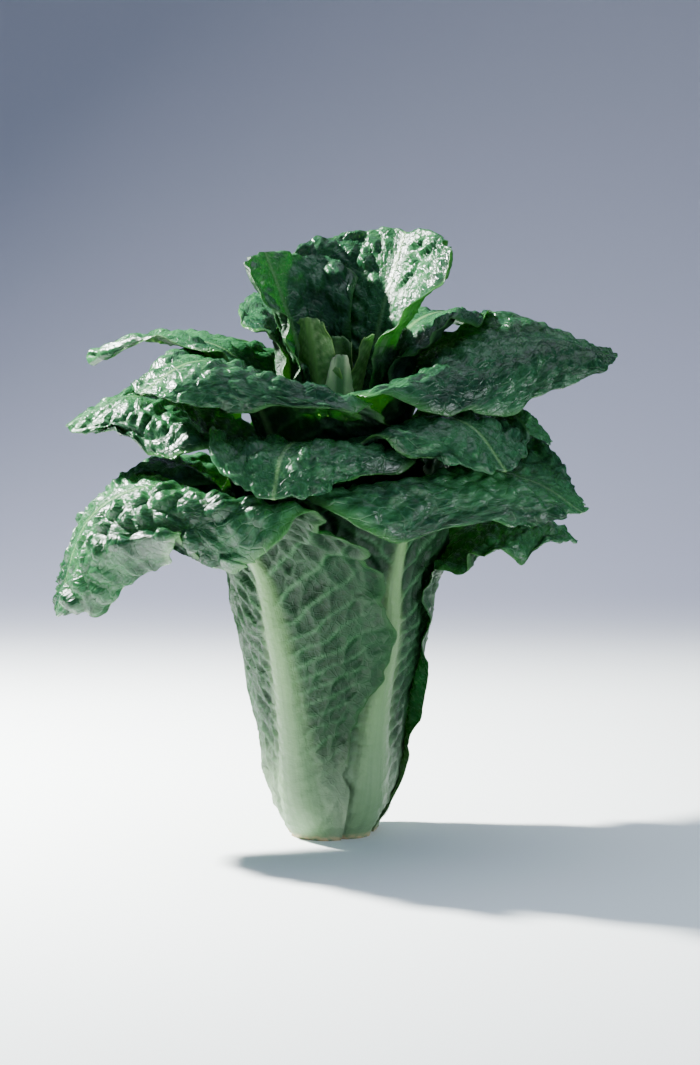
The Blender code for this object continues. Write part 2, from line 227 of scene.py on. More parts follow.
# From the outermost leaf to the innermost.
LEAVES = (
    LeafForm("leaf_01_front_left", 233, -0.004,
             ((0.060, 0.150, -4), (0.076, 0.178, -14), (0.104, 0.197, -26),
              (0.136, 0.178, -38), (0.153, 0.124, -44)),
             0.086, (0, -12, -20), (-16, -60, -60), ruffle=0.008, waves=4.5, phase=0.1, blunt_tip=0.4),
    LeafForm("leaf_02_right", 40, -0.004,
             ((0.054, 0.134, -6), (0.066, 0.156, -14), (0.088, 0.170, -22),
              (0.114, 0.171, -28), (0.134, 0.159, -30)),
             0.068, (0, -35, -45), (0, 0, 0), ruffle=0.006, waves=4.5, phase=0.6, blunt_tip=0.4),
    LeafForm("leaf_03_front_right", 306, -0.004,
             ((0.054, 0.152, 0), (0.067, 0.190, 4), (0.094, 0.207, 14),
              (0.121, 0.200, 24), (0.143, 0.184, 29)),
             0.080, (0, -44, -70), (0, 4, -20), phase=0.35, blunt_tip=0.45),
    LeafForm("leaf_04_left", 164, -0.004,
             ((0.053, 0.146, 0), (0.067, 0.177, 2), (0.086, 0.199, 4),
              (0.103, 0.203, 6), (0.117, 0.192, 8)),
             0.068, phase=0.8),
    LeafForm("leaf_05_back", 92, 0.014,
             ((0.050, 0.151, 0), (0.064, 0.187, 0), (0.090, 0.213, 0),
              (0.115, 0.218, 0), (0.137, 0.204, 0)),
             0.072, phase=0.2),
    LeafForm("leaf_06_far_left", 186, 0.012,
             ((0.046, 0.158, -1), (0.058, 0.200, -3), (0.082, 0.231, -5),
              (0.113, 0.240, -7), (0.147, 0.224, -8)),
             0.062, (0, 0, 0), (0, -44, -85), ruffle=0.006, waves=4.5, phase=0.45, blunt_tip=0.6),
    LeafForm("leaf_07_far_right", 22, 0.016,
             ((0.045, 0.156, -2), (0.059, 0.194, -4), (0.081, 0.224, -8),
              (0.104, 0.230, -10), (0.121, 0.213, -10)),
             0.066, (0, -24, -66), (0, 0, 0), ruffle=0.004, waves=3.5, phase=0.7, blunt_tip=0.5),
    LeafForm("leaf_08_front", 262, 0.020,
             ((0.041, 0.162, -1), (0.053, 0.201, -3), (0.076, 0.222, -6),
              (0.099, 0.218, -8), (0.115, 0.197, -8)),
             0.068, (0, 4, -10), (0, -16, -60), ruffle=0.004, waves=3.5, phase=0.15, blunt_tip=0.5),
    LeafForm("leaf_09_front_right", 322, 0.024,
             ((0.037, 0.168, 0), (0.048, 0.210, -2), (0.070, 0.232, -4),
              (0.097, 0.229, -4), (0.119, 0.208, -4)),
             0.060, (0, -24, -75), (0, 0, 0), ruffle=0.004, waves=4.5, phase=0.55, blunt_tip=0.55),
    LeafForm("leaf_10_upper_left", 225, 0.028,
             ((0.034, 0.170, -2), (0.0445, 0.223, -5), (0.066, 0.257, -9),
              (0.092, 0.262, -12), (0.120, 0.247, -13)),
             0.071, (0, 0, 0), (0, -32, -95), ruffle=0.003, phase=0.9, blunt_tip=0.7),
    LeafForm("leaf_11_upper_right", 352, 0.032,
             ((0.031, 0.172, 0), (0.041, 0.233, 2), (0.067, 0.265, 4),
              (0.110, 0.272, 5), (0.152, 0.262, 5)),
             0.072, (0, -46, -90), (0, 4, 0), ruffle=0.003, phase=0.3, blunt_tip=0.5),
    LeafForm("leaf_12_back_left", 150, 0.036,
             ((0.028, 0.174, 2), (0.039, 0.230, 4), (0.064, 0.263, 8),
              (0.104, 0.270, 12), (0.140, 0.261, 15)),
             0.062, ruffle=0.003, phase=0.65),
    LeafForm("leaf_13_back_right", 50, 0.040,
             ((0.0245, 0.176, 0), (0.0345, 0.238, 0), (0.059, 0.272, 0),
              (0.092, 0.282, 0), (0.120, 0.272, 0)),
             0.062, ruffle=0.004, phase=0.0),
    LeafForm("leaf_14_upper_back", 105, 0.0425,
             ((0.021, 0.178, 0), (0.031, 0.244, 0), (0.054, 0.280, 0),
              (0.085, 0.294, 0), (0.112, 0.286, 0)),
             0.058, ruffle=0.003, phase=0.5),
    LeafForm("leaf_15_top_right", 50, 0.048,
             ((0.017, 0.180, 0), (0.0255, 0.232, 0), (0.036, 0.275, 0),
              (0.049, 0.306, 0), (0.060, 0.329, 0)),
             0.080, (0, 0, -20), (0, 0, -20), ruffle=0.003, phase=0.25, blunt_tip=0.8,
             tip_sweep=0.15, wrap=1.7),
    LeafForm("leaf_16_top_left", 142, 0.052,
             ((0.0135, 0.180, 0), (0.0185, 0.226, 0), (0.0255, 0.264, 0),
              (0.037, 0.292, 0), (0.049, 0.317, 0)),
             0.060, (0, 4, 0), (0, 0, -20), ruffle=0.003, phase=0.75, blunt_tip=0.75,
             tip_sweep=0.2, wrap=1.2),
)

# The small leaves of the heart, which stand on its core.
YOUNG_LEAVES = (
    LeafForm("cream", 278, 0.150, ((0.0075, 0.205, 0), (0.013, 0.240, 0), (0.018, 0.264, 0)),
             0.009, ruffle=0.0006, waves=3.0, phase=0.2, blunt_tip=0.5),
    LeafForm("frilly", 222, 0.150, ((0.0070, 0.205, 0), (0.012, 0.245, 0), (0.022, 0.284, 6)),
             0.015, ruffle=0.0020, waves=5.0, phase=0.6, blunt_tip=0.7, tip_sweep=0.3, wrap=1.1),
    LeafForm("folded", 350, 0.150, ((0.0070, 0.205, 0), (0.013, 0.245, 0), (0.020, 0.274, 0)),
             0.013, ruffle=0.0015, waves=4.0, phase=0.4, blunt_tip=0.6, tip_sweep=0.3, wrap=1.1),
    LeafForm("hidden", 85, 0.150, ((0.0070, 0.205, 0), (0.010, 0.240, 0), (0.014, 0.272, 0)),
             0.013, ruffle=0.0015, waves=4.0, phase=0.8, blunt_tip=0.6),
)

# Radius and height of the heart's core, from its foot up, in metres.
CORE_PROFILE = (
    (0.0, 0.0624), (0.0045, 0.0624), (0.0062, 0.080), (0.0100, 0.115), (0.0098, 0.170), (0.0085, 0.205),
    (0.0045, 0.228), (0.0, 0.236),
)

# Rows and columns of the grid, for leaves that show much or have the largest blisters.
DETAIL = {
    "leaf_01_front_left": (200, 130),
    "leaf_02_right": (150, 100),
    "leaf_03_front_right": (180, 120),
    "leaf_06_far_left": (150, 96),
    "leaf_10_upper_left": (160, 110),
    "leaf_11_upper_right": (150, 100),
    "leaf_15_top_right": (180, 120),
    "leaf_16_top_left": (150, 100),
}
USUAL_DETAIL = (116, 80)


@dataclass(frozen=True)
class HeadBody:
    """The closed lower half of the head, in metres: how its leaves lie round one another."""

    butt_radius: float = 0.0165
    waist_radius: float = 0.053
    waist_height: float = 0.115
    swell: float = 0.85
    heart_radius: float = 0.012
    packing: float = 1.3
    stem_radius: float = 0.0065
    stem_top_radius: float = 0.0050
    stem_height: float = 0.062
    blade: float = 0.0008
    rib_at_butt: float = 0.0044
    rib_at_tip: float = 0.0006
    rib_thinning: float = 0.045
    rib_taper: float = 0.42
    rib_half_at_butt: float = 0.0115
    rib_half_at_tip: float = 0.0025
    rib_narrowing: float = 1.5
    stem_gap: float = 0.0004
    leaf_gap: float = 0.0009
    rib_spread: float = 0.010
    base_lead: float = 0.024

    def outside(self, height: np.ndarray) -> np.ndarray:
        """Outside radius of the closed head between its ribs.

        Args:
            height: Heights above the cut face.

        Returns:
            butt + (waist - butt) (height / waist height)^swell, butt being less half a rib.
        """
        butt = self.butt_radius - self.rib_at_butt / 2
        share = np.clip(height / self.waist_height, 0, None) ** self.swell
        return butt + (self.waist_radius - butt) * share

    def stem(self, height: np.ndarray) -> np.ndarray:
        """Radius of the stem, which tapers straight from its foot to its top."""
        share = np.clip(height / self.stem_height, 0, 1)
        return self.stem_radius + (self.stem_top_radius - self.stem_radius) * share

    def planned(self, order: int, height: np.ndarray) -> np.ndarray:
        """Inner face of a leaf if nothing inside it stood in the way.

        Args:
            order: The leaf's place, 0 being the outermost.
            height: Heights above the cut face.

        Returns:
            outside + (inside - outside) (order / last)^packing.
        """
        inside = self.stem(height) + self.stem_gap
        inside = inside + (self.heart_radius - self.stem_top_radius) * rise(height, 0, self.waist_height)
        outside = self.outside(height) - self.blade
        return outside + (inside - outside) * (order / (len(LEAVES) - 1)) ** self.packing

    def rib_height(self, order: int, height: np.ndarray) -> np.ndarray:
        """How far a leaf's rib stands out of its blade below the crown.

        Args:
            order: The leaf's place, 0 being the outermost.
            height: Heights above the cut face.

        Returns:
            rib at the butt x (1 - taper height / waist height) x (1 - thinning order).
        """
        share = np.clip(height / self.waist_height, 0, 1)
        return self.rib_at_butt * (1 - self.rib_taper * share) * (1 - self.rib_thinning * order)

    def nest(self, order: int, angle: np.ndarray, height: np.ndarray) -> np.ndarray:
        """Inner face of a leaf, pushed out by the ribs and blades inside it.

        Args:
            order: The leaf's place, 0 being the outermost.
            angle: Angles round the axis, in radians.
            height: Heights above the cut face.

        Returns:
            The larger of the planned radius and the face inside plus its blade, gap and rib.
        """
        last = len(LEAVES) - 1
        radius = np.maximum(self.planned(last, height), self.stem(height) + self.stem_gap)
        for inner in range(last, order, -1):
            leaf = LEAVES[inner]
            there = rise(height, leaf.base_height - self.base_lead, leaf.base_height)
            turned = (angle - math.radians(leaf.azimuth) + math.pi) % (2 * math.pi) - math.pi
            away = np.abs(turned) * radius
            across = np.clip(away / (self.rib_half_at_butt + self.rib_spread), 0, 1)
            rib = self.rib_height(inner, height) * 0.5 * (1 + np.cos(math.pi * across))
            pushed = radius + (self.blade + self.leaf_gap + rib) * there
            radius = np.maximum(self.planned(inner - 1, height), pushed)
        return radius


class Route:
    """The line that a leaf's rib follows."""

    # Where a young leaf, which has no waist point, starts to come free.
    YOUNG_WAIST = 0.3

    def __init__(self, points: list, azimuth: float, waist_point: int | None) -> None:
        """Draws the line.

        Args:
            points: (radius, height, turn in degrees) from base to tip.
            azimuth: The leaf's side of the head, in degrees.
            waist_point: Which of the points is at the waist, or None.
        """
        self.curve = smooth_curve(points)
        self.curve[:, 2] = np.radians(azimuth + self.curve[:, 2])
        r, z, angle = self.curve.T
        line = np.column_stack([r * np.cos(angle), r * np.sin(angle), z])
        travelled = np.concatenate([[0], np.cumsum(np.linalg.norm(np.diff(line, axis=0), axis=1))])
        self.length = travelled[-1]
        self.share = travelled / self.length
        slope = np.gradient(self.curve[:, :2], travelled, axis=0)
        self.slope = slope / np.linalg.norm(slope, axis=1, keepdims=True)
        self.waist = self.YOUNG_WAIST if waist_point is None else self.share[CURVE_STEPS * waist_point]


@dataclass(frozen=True)
class Outline:
    """How a blade's width and freedom change from base to tip.

    The half width is in metres. The rest are shares of the rib's length, or powers and a pitch, and
    loose_after and free_after are shares of what the rib has left beyond the waist.
    """

    base_half_width: float = 0.0120
    widest_at: float = 0.70
    fullness: float = 0.8
    tip_rounding: float = 2.2
    loose_after: float = 0.32
    free_after: float = 0.7
    sweep_from: float = 0.55
    ripple_from: float = 0.85
    tip_ripple: float = 0.006
    ripple_pitch: float = 1.6

    def half_width(self, form: LeafForm, s: np.ndarray) -> np.ndarray:
        """Half the blade's width.

        Args:
            form: The leaf.
            s: Shares of the rib's length.

        Returns:
            (base + (widest - base) (s / widest_at)^fullness) sqrt(1 - (1 - blunt^2) over^rounding),
            where over goes from 0 at the widest place to 1 at the tip.
        """
        share = np.clip(s / self.widest_at, 0, 1) ** self.fullness
        swell = self.base_half_width + (form.half_width - self.base_half_width) * share
        over = np.clip((s - self.widest_at) / (1 - self.widest_at), 0, 1) ** self.tip_rounding
        return swell * np.sqrt(1 - (1 - form.blunt_tip**2) * over)


@dataclass(frozen=True)
class Relief:
    """Sizes of what stands out of a blade, in millimetres.

    Slants are in millimetres along the rib for each across it. Names with low are for below the
    waist, with cell and step for how far apart the marks are, with from, full and end for places
    along the rib, and with cw and ccw for the two halves of the blade. blister_low is a share of the
    blisters' height, lobe and notch are shares of the blade's width, and fold is in radians.
    """

    vein_spacing: float = 13.0
    vein_spacing_low: float = 8.0
    vein_slant: float = 0.85
    vein_slant_low: float = 0.5
    vein_bend: float = 0.0022
    vein_half: float = 1.25
    vein_stray: float = 2.4
    stray_along: float = 70.0
    stray_across: float = 90.0
    blister: float = 2.6
    blister_low: float = 0.12
    blister_cell: float = 12.0
    dimple: float = 0.55
    dimple_cell: float = 4.6
    vein_height: float = 0.7
    margin_wave: float = 7.0
    margin_step: float = 19.0
    frill: float = 1.9
    frill_step: float = 5.5
    lobe: float = 0.075
    lobe_step: float = 16.0
    fold: float = 0.30
    fold_step: float = 34.0
    edge: float = 0.35
    fringe_cw: float = 0.0
    fringe_ccw: float = 0.0
    fringe_step: float = 15.0
    fringe_from: float = 25.0
    fringe_full: float = 60.0
    ragged_from: float = 18.0
    ragged_full: float = 48.0
    notch_cw: float = 0.0
    notch_ccw: float = 0.0
    notch_full: float = 65.0
    notch_end: float = 105.0


RELIEFS = {
    "leaf_01_front_left": Relief(blister=3.2, blister_cell=13.0, blister_low=0.5, lobe=0.10,
                                 fringe_cw=2.0, fringe_ccw=6.5, notch_ccw=0.24),
    "leaf_02_right": Relief(blister_low=0.5, lobe=0.09, fringe_cw=7.0, fringe_ccw=3.0, notch_cw=0.30),
    "leaf_03_front_right": Relief(blister_low=0.5, lobe=0.05, fringe_cw=0.5, fringe_ccw=2.5),
    "leaf_15_top_right": Relief(blister=3.0, fold=0.15, margin_wave=5.0),
    "leaf_16_top_left": Relief(fold=0.08, margin_wave=3.5),
}
YOUNG_RELIEF = Relief(
    vein_spacing=6.0, blister=0.5, blister_cell=5.0, dimple=0.15, dimple_cell=2.2, vein_height=0.3,
    margin_wave=0.7, margin_step=5.0, frill=0.6, frill_step=2.0,
)


class BladeGrid:
    """Works out a blade's two faces and its markings on a grid.

    At each point of the grid, s is the share of the rib's length, a the millimetres along the rib, u
    goes from 0 on the rib to 1 at the margin, w is the millimetres from the rib, and sign is -1 on
    the clockwise half and 1 on the other. free and loose go from 0 on the closed head to 1 where the
    blade hangs free, loose within a shorter way. Each half takes its own stretch of a wave, through
    the whole numbers that multiply sign.
    """

    # Shares of the way from waist to tip where the lifts hold.
    LIFT_STATIONS = (0, 0.38, 0.70, 1)
    # The least turn in radians, as the arc's formula divides by the turn.
    LEAST_TURN = 1e-3
    # Half widths of the lines of the net and of the smallest net, in cells.
    NET_HALF = 0.13
    TINY_HALF = 0.16

    def __init__(self, form: LeafForm, route: Route, relief: Relief, seed: float) -> None:
        """Keeps what the blade is made from.

        Args:
            form: The leaf.
            route: Its rib's line.
            relief: Sizes of its veins and blisters.
            seed: Picks its patterns.
        """
        self.form, self.route, self.relief, self.seed = form, route, relief, seed
        self.outline = Outline()

    def past_waist(self, at: np.ndarray, span: float) -> np.ndarray:
        """0 to 1 from the waist to a share, the span, of the way from there to the tip."""
        return smoothstep((at - self.route.waist) / (span * (1 - self.route.waist)))

    def by_half(self, cw: Numbers, ccw: Numbers) -> np.ndarray:
        """The first on the clockwise half of the blade and the second on the other."""
        return np.where(self.sign < 0, cw, ccw)

    def sweep(self, rows: np.ndarray, columns: np.ndarray, push: Push) -> None:
        """Lays the upper face out, before its blisters.

        Args:
            rows: Shares of the rib's length.
            columns: -1 at the clockwise margin, 0 on the rib and 1 at the other margin.
            push: Gives how far the leaves inside hold the blade out, from angle and height.

        A point lies at radius R + push (1 - loose) - above Z', angle A + across / R and height
        Z + above R', with R, Z and A the route's radius, height and angle a little before its row,
        Z' and R' its slopes, and across and above the arc of a blade that turns from rib to margin.
        """
        form, route, outline = self.form, self.route, self.outline
        self.s, t = np.meshgrid(rows, columns, indexing="ij")
        self.sign = np.where(t < 0, -1.0, 1.0)
        self.u = np.abs(t)
        self.a = self.s * route.length * MM
        self.free = self.past_waist(self.s, outline.free_after)
        wide = self.margin_width()
        back = form.tip_sweep * wide / route.length * self.u**2 * rise(self.s, outline.sweep_from, 1)
        ripple = outline.tip_ripple * waves(t * outline.ripple_pitch, self.seed + 9)
        at = np.clip(self.s - back - ripple * rise(self.s, outline.ripple_from, 1), 0, 1)
        radius, height, angle = (np.interp(at, route.share, route.curve[:, i]) for i in range(3))
        ahead_r, ahead_z = (np.interp(at, route.share, route.slope[:, i]) for i in range(2))
        self.loose = self.past_waist(at, outline.loose_after)
        free = self.past_waist(at, outline.free_after)
        wide = np.minimum(wide, form.wrap * radius)

        turn = self.turn(at, free)
        across = wide * np.sin(turn * self.u) / turn
        above = wide * (1 - np.cos(turn * self.u)) / turn
        above = above + (form.ruffle * self.u**2.2 * self.ruffle() + self.frill()) * free
        above = above - self.lifted_edge() * (1 - free)
        theta = angle + self.sign * across / radius
        out = radius + push(theta, height) * (1 - self.loose) - above * ahead_z
        place = [out * np.cos(theta), out * np.sin(theta), height + above * ahead_r]
        self.points = np.stack(place, axis=-1)
        self.w = self.u * wide * MM

    def margin_width(self) -> np.ndarray:
        """Half the blade's width with its lobes and its notch.

        Returns:
            Width x (1 - notch) x (1 + lobe (2 D(a) - 1 + 0.8 D'(a) - 0.4) g), in metres, where g rises
            towards the margin, where the blade is free or its fringe shows.
        """
        relief, a = self.relief, self.a
        lobes = 2 * drift(a / relief.lobe_step + 9 * self.sign, self.seed) - 1
        lobes = lobes + 0.8 * drift(3.1 * a / relief.lobe_step + 4 * self.sign, self.seed + 6) - 0.4
        shown = self.by_half(relief.fringe_cw, relief.fringe_ccw) > 0
        ragged = np.where(shown, rise(a, relief.ragged_from, relief.ragged_full), self.free)
        lobed = 1 + relief.lobe * lobes * rise(self.u, 0.5, 1) * np.maximum(ragged, self.free)
        notch = self.by_half(relief.notch_cw, relief.notch_ccw)
        notch = notch * rise(a, relief.notch_end, relief.notch_full)
        return self.outline.half_width(self.form, self.s) * (1 - notch) * lobed

    def turn(self, at: np.ndarray, free: np.ndarray) -> np.ndarray:
        """How far the blade turns towards its upper face from rib to margin.

        Args:
            at: Shares of the rib's length.
            free: How free the blade is there.

        Returns:
            The leaf's lift there, plus fold (2 D(a) - 1) free, in radians.
        """
        relief, waist = self.relief, self.route.waist
        stations = waist + (1 - waist) * np.array(self.LIFT_STATIONS)
        held = np.maximum(at, waist)
        cw = along(stations, [0, *np.radians(self.form.lift_cw)], held)
        ccw = along(stations, [0, *np.radians(self.form.lift_ccw)], held)
        folds = 2 * drift(self.a / relief.fold_step + 5 * self.sign, self.seed + 4) - 1
        turn = self.by_half(cw, ccw) + relief.fold * folds * free
        return np.where(np.abs(turn) < self.LEAST_TURN, self.LEAST_TURN, turn)

    def ruffle(self) -> np.ndarray:
        """The leaf's own long waves, which the solid has too.

        Returns:
            sin(2 pi (n s + phase) +- 0.9) + 0.5 sin(2 pi (2.3 n s + 3 phase) -+ 1.3), for n waves.
        """
        form = self.form
        long = np.sin(2 * math.pi * (form.waves * self.s + form.phase) + 0.9 * self.sign)
        short = np.sin(2 * math.pi * (2.3 * form.waves * self.s + 3 * form.phase) - 1.3 * self.sign)
        return long + 0.5 * short

    def frill(self) -> np.ndarray:
        """Waves of the margin.

        Returns:
            margin_wave (2 D(a) - 1) g + frill (2 D'(a) - 1) g' in metres, g rising from u = 0.35 and
            g' from u = 0.78 to the margin.
        """
        relief, shift = self.relief, 11 * self.sign
        broad = relief.margin_wave * (2 * drift(self.a / relief.margin_step + shift, self.seed + 1) - 1)
        fine = relief.frill * (2 * drift(self.a / relief.frill_step + shift, self.seed + 3) - 1)
        return (broad * rise(self.u, 0.35, 1) + fine * rise(self.u, 0.78, 1)) / MM

    def lifted_edge(self) -> np.ndarray:
        """How far a margin that nothing covers stands off the head below the crown.

        Returns:
            fringe g (0.1 + D(a)^1.3 + 0.2 D'(a)) in metres, g rising from u = 0.72 to the margin and
            from fringe_from along the rib.
        """
        relief, a = self.relief, self.a
        edge = rise(self.u, 0.72, 1) ** 1.5 * rise(a, relief.fringe_from, relief.fringe_full)
        curl = 0.1 + drift(a / relief.fringe_step + 7 * self.sign, self.seed) ** 1.3
        curl = curl + 0.2 * drift(4.3 * a / relief.fringe_step, self.seed + 8)
        return self.by_half(relief.fringe_cw, relief.fringe_ccw) * edge * curl / MM

    def vein_places(self) -> tuple[np.ndarray, np.ndarray]:
        """Where each point lies among the secondary veins, which slant away from the rib.

        Returns:
            Where the vein through the point leaves the rib, a - slant w + bend w^2 + stray, and how
            far the nearest vein is along the rib, both in millimetres. Veins leave the rib at whole
            numbers of the spacing, half a step apart on the two sides.
        """
        relief = self.relief
        stray = waves(self.a / relief.stray_along + self.w / relief.stray_across, self.seed + 4, 3)
        slant = relief.vein_slant_low + (relief.vein_slant - relief.vein_slant_low) * self.loose
        bend = relief.vein_bend * self.w**2 * self.loose
        start = self.a - slant * self.w + bend + relief.vein_stray * stray
        waist = self.route.waist * self.route.length * MM
        low, high = np.minimum(start, waist), np.maximum(start - waist, 0)
        q = low / relief.vein_spacing_low + high / relief.vein_spacing + self.by_half(0.5, 0.0)
        spacing = np.where(start < waist, relief.vein_spacing_low, relief.vein_spacing)
        return start, np.abs(q - np.round(q)) * spacing

    def mark(self) -> None:
        """Works out the veins and blisters.

        A vein is exp(-(distance / half width)^2), thinner towards the margin. Blisters and dimples
        are the cells of two cellular patterns of (start of the vein, w), highest away from the
        borders and between the veins, and the borders are the net of small veins.
        """
        relief, seed = self.relief, self.seed
        start, off = self.vein_places()
        thin = relief.vein_half * (1 - 0.45 * self.u)
        self.vein = np.exp(-((off / thin) ** 2)) * rise(self.u, 1.02, 0.77)
        along_rib, across_rib = start / relief.blister_cell, self.w / relief.blister_cell
        border, owner = cells(along_rib + 7 * self.sign, across_rib + 3 * seed, seed)
        dome = rise(border, 0, 0.5) * (0.45 + 0.55 * rise(off, 0, 4.5)) * (0.55 + 0.9 * owner)
        along_rib, across_rib = start / relief.dimple_cell, self.w / relief.dimple_cell
        small, own = cells(along_rib + 5 * self.sign, across_rib, seed + 11)
        pit = rise(small, 0, 0.5) * (0.6 + 0.8 * own)
        self.net = np.exp(-((border / self.NET_HALF) ** 2)) * 0.55
        self.tiny = np.exp(-((small / self.TINY_HALF) ** 2)) * 0.3
        clear = rise(self.w, 3.0, 12.0) * rise(self.u, 1.0, 0.9)
        swell = relief.blister_low + (1 - relief.blister_low) * self.loose
        self.raise_mm = clear * (relief.blister * dome * swell + relief.dimple * pit)

    @staticmethod
    def unit(vectors: np.ndarray) -> np.ndarray:
        """The vectors, each divided by its length."""
        return vectors / np.linalg.norm(vectors, axis=-1, keepdims=True)

    def normals(self) -> np.ndarray:
        """Unit normals towards the underside: the cross product of the steps across and along."""
        return self.unit(np.cross(np.gradient(self.points, axis=1), np.gradient(self.points, axis=0)))

    def faces(
        self, rib: np.ndarray, rib_half: np.ndarray, blade: float, flat: np.ndarray | None
    ) -> tuple[np.ndarray, np.ndarray]:
        """The two faces' points.

        Args:
            rib: How far the rib stands out at each row, in metres.
            rib_half: Half the rib's width at each row, in metres.
            blade: The blade's thickness in metres.
            flat: How far each row's rib is offset level instead of along the normal, or None.

        Returns:
            Points of the upper face and of the underside. The upper face is the swept one, raised by
            its blisters. The underside is that face moved by blade + rib (1 - (w / half)^2) + veins,
            along the normal, and then the rib's groove is pressed into the upper face.
        """
        relief = self.relief
        normal = self.normals()
        if flat is not None:
            level = self.unit(normal * np.array([1, 1, 0]))
            normal = self.unit(normal + (level - normal) * flat[:, None, None])
        upper = self.points - normal * (self.raise_mm / MM)[..., None]
        x = self.w / MM / rib_half[:, None]
        crest = rib[:, None] * np.clip(1 - x**2, 0, 1)
        self.rib = rise(x, 1.75 - 0.75 * self.loose, 0.45 - 0.15 * self.loose)
        groove = 0.22 * rib[:, None] * np.exp(-((x / 0.45) ** 2)) * self.free
        body = blade - (blade - relief.edge / MM) * rise(self.u, 0.9, 1)
        veins = relief.vein_height * (self.vein * (1.1 - 0.6 * self.u) + 0.35 * self.net) / MM
        veins = veins * rise(self.u, 1.0, 0.88) * rise(self.w, 2.0, 6.0)
        under = upper + normal * (body + crest + veins)[..., None]
        return upper + normal * groove[..., None], under


class ShellMesh:
    """A closed shell between an upper and an under grid."""

    @staticmethod
    def quads(rows: int, columns: int) -> np.ndarray:
        """Corners of the shell's faces.

        Args:
            rows: Rows of each grid.
            columns: Columns of each grid.

        Returns:
            Rows of four vertex numbers that point outwards. The under grid's numbers follow the
            upper's.
        """
        upper = np.arange(rows * columns).reshape(rows, columns)
        under = upper + rows * columns
        a, b, c, d = upper[:-1, :-1], upper[:-1, 1:], upper[1:, 1:], upper[1:, :-1]
        top = np.stack([a, d, c, b], -1).reshape(-1, 4)
        a, b, c, d = under[:-1, :-1], under[:-1, 1:], under[1:, 1:], under[1:, :-1]
        bottom = np.stack([a, b, c, d], -1).reshape(-1, 4)
        left = np.stack([upper[:-1, 0], under[:-1, 0], under[1:, 0], upper[1:, 0]], -1)
        right = np.stack([upper[:-1, -1], upper[1:, -1], under[1:, -1], under[:-1, -1]], -1)
        foot = np.stack([upper[0, :-1], upper[0, 1:], under[0, 1:], under[0, :-1]], -1)
        tip = np.stack([upper[-1, :-1], under[-1, :-1], under[-1, 1:], upper[-1, 1:]], -1)
        return np.concatenate([top, bottom, left, right, foot, tip])


class Piece:
    """A mesh of the head with its map and marks, put in the scene as one object."""

    def __init__(self, name: str) -> None:
        """Starts a piece.

        Args:
            name: The object's name.
        """
        self.name = name
        self.points: list[np.ndarray] = []
        self.faces: list[np.ndarray] = []
        self.maps: list[np.ndarray] = []
        self.marks: list[np.ndarray] = []
        self.places: list[np.ndarray] = []
        self.count = 0

    def add(
        self, points: np.ndarray, faces: np.ndarray, flat: np.ndarray, marks: np.ndarray, places: np.ndarray
    ) -> None:
        """Adds a closed part.

        Args:
            points: Vertices.
            faces: Rows of four vertex numbers, the last -1 for a triangle.
            flat: The map's two coordinates at each vertex.
            marks: Vein, margin and rib at each vertex, from 0 to 1.
            places: Low, cut and underside at each vertex, from 0 to 1.
        """
        self.points.append(points)
        self.faces.append(np.where(faces < 0, -1, faces + self.count))
        self.maps.append(flat)
        self.marks.append(marks)
        self.places.append(places)
        self.count += len(points)

    def build(self, material: bpy.types.Material, node: str, slot: Slot) -> bpy.types.Object:
        """Makes the object, hangs it under the root body and hides its CAD node.

        Args:
            material: Its finish.
            node: The CAD node that it stands for.
            slot: The record's slot of its finish; not used.

        Returns:
            The object.
        """
        points, faces = np.concatenate(self.points), np.concatenate(self.faces)
        sides = np.where(faces[:, 3] < 0, 3, 4).astype(np.int32)
        loops = faces[faces >= 0].astype(np.int32)
        mesh = bpy.data.meshes.new(self.name)
        mesh.vertices.add(len(points))
        mesh.vertices.foreach_set("co", points.astype(np.float32).reshape(-1))
        mesh.loops.add(len(loops))
        mesh.loops.foreach_set("vertex_index", loops)
        mesh.polygons.add(len(faces))
        mesh.polygons.foreach_set("loop_start", (np.cumsum(sides) - sides).astype(np.int32))
        mesh.update(calc_edges=True)
        mesh.validate()
        mesh.shade_smooth()
        layer = mesh.uv_layers.new(name="leaf_map")
        corners = np.zeros(len(mesh.loops), np.int32)
        mesh.loops.foreach_get("vertex_index", corners)
        layer.data.foreach_set("uv", np.concatenate(self.maps)[corners].astype(np.float32).reshape(-1))
        for title, values in (("marks", self.marks), ("places", self.places)):
            attribute = mesh.attributes.new(title, "FLOAT_VECTOR", "POINT")
            attribute.data.foreach_set("vector", np.concatenate(values).astype(np.float32).reshape(-1))
        mesh.materials.append(material)
        obj = bpy.data.objects.new(self.name, mesh)
        bpy.context.scene.collection.objects.link(obj)
        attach(obj, "root")
        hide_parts(node)
        LOG.info("%s: %d faces", self.name, len(mesh.polygons))
        return obj


def crowded(count: int, pull: float = 0.18) -> np.ndarray:
    """Columns from -1 to 1 that stand closer together towards the margins.

    Args:
        count: How many there are.
        pull: How much closer.

    Returns:
        x (1 + pull (1 - x^2)) for evenly spaced x.
    """
    x = np.linspace(-1, 1, count)
    return x * (1 + pull * (1 - x**2))


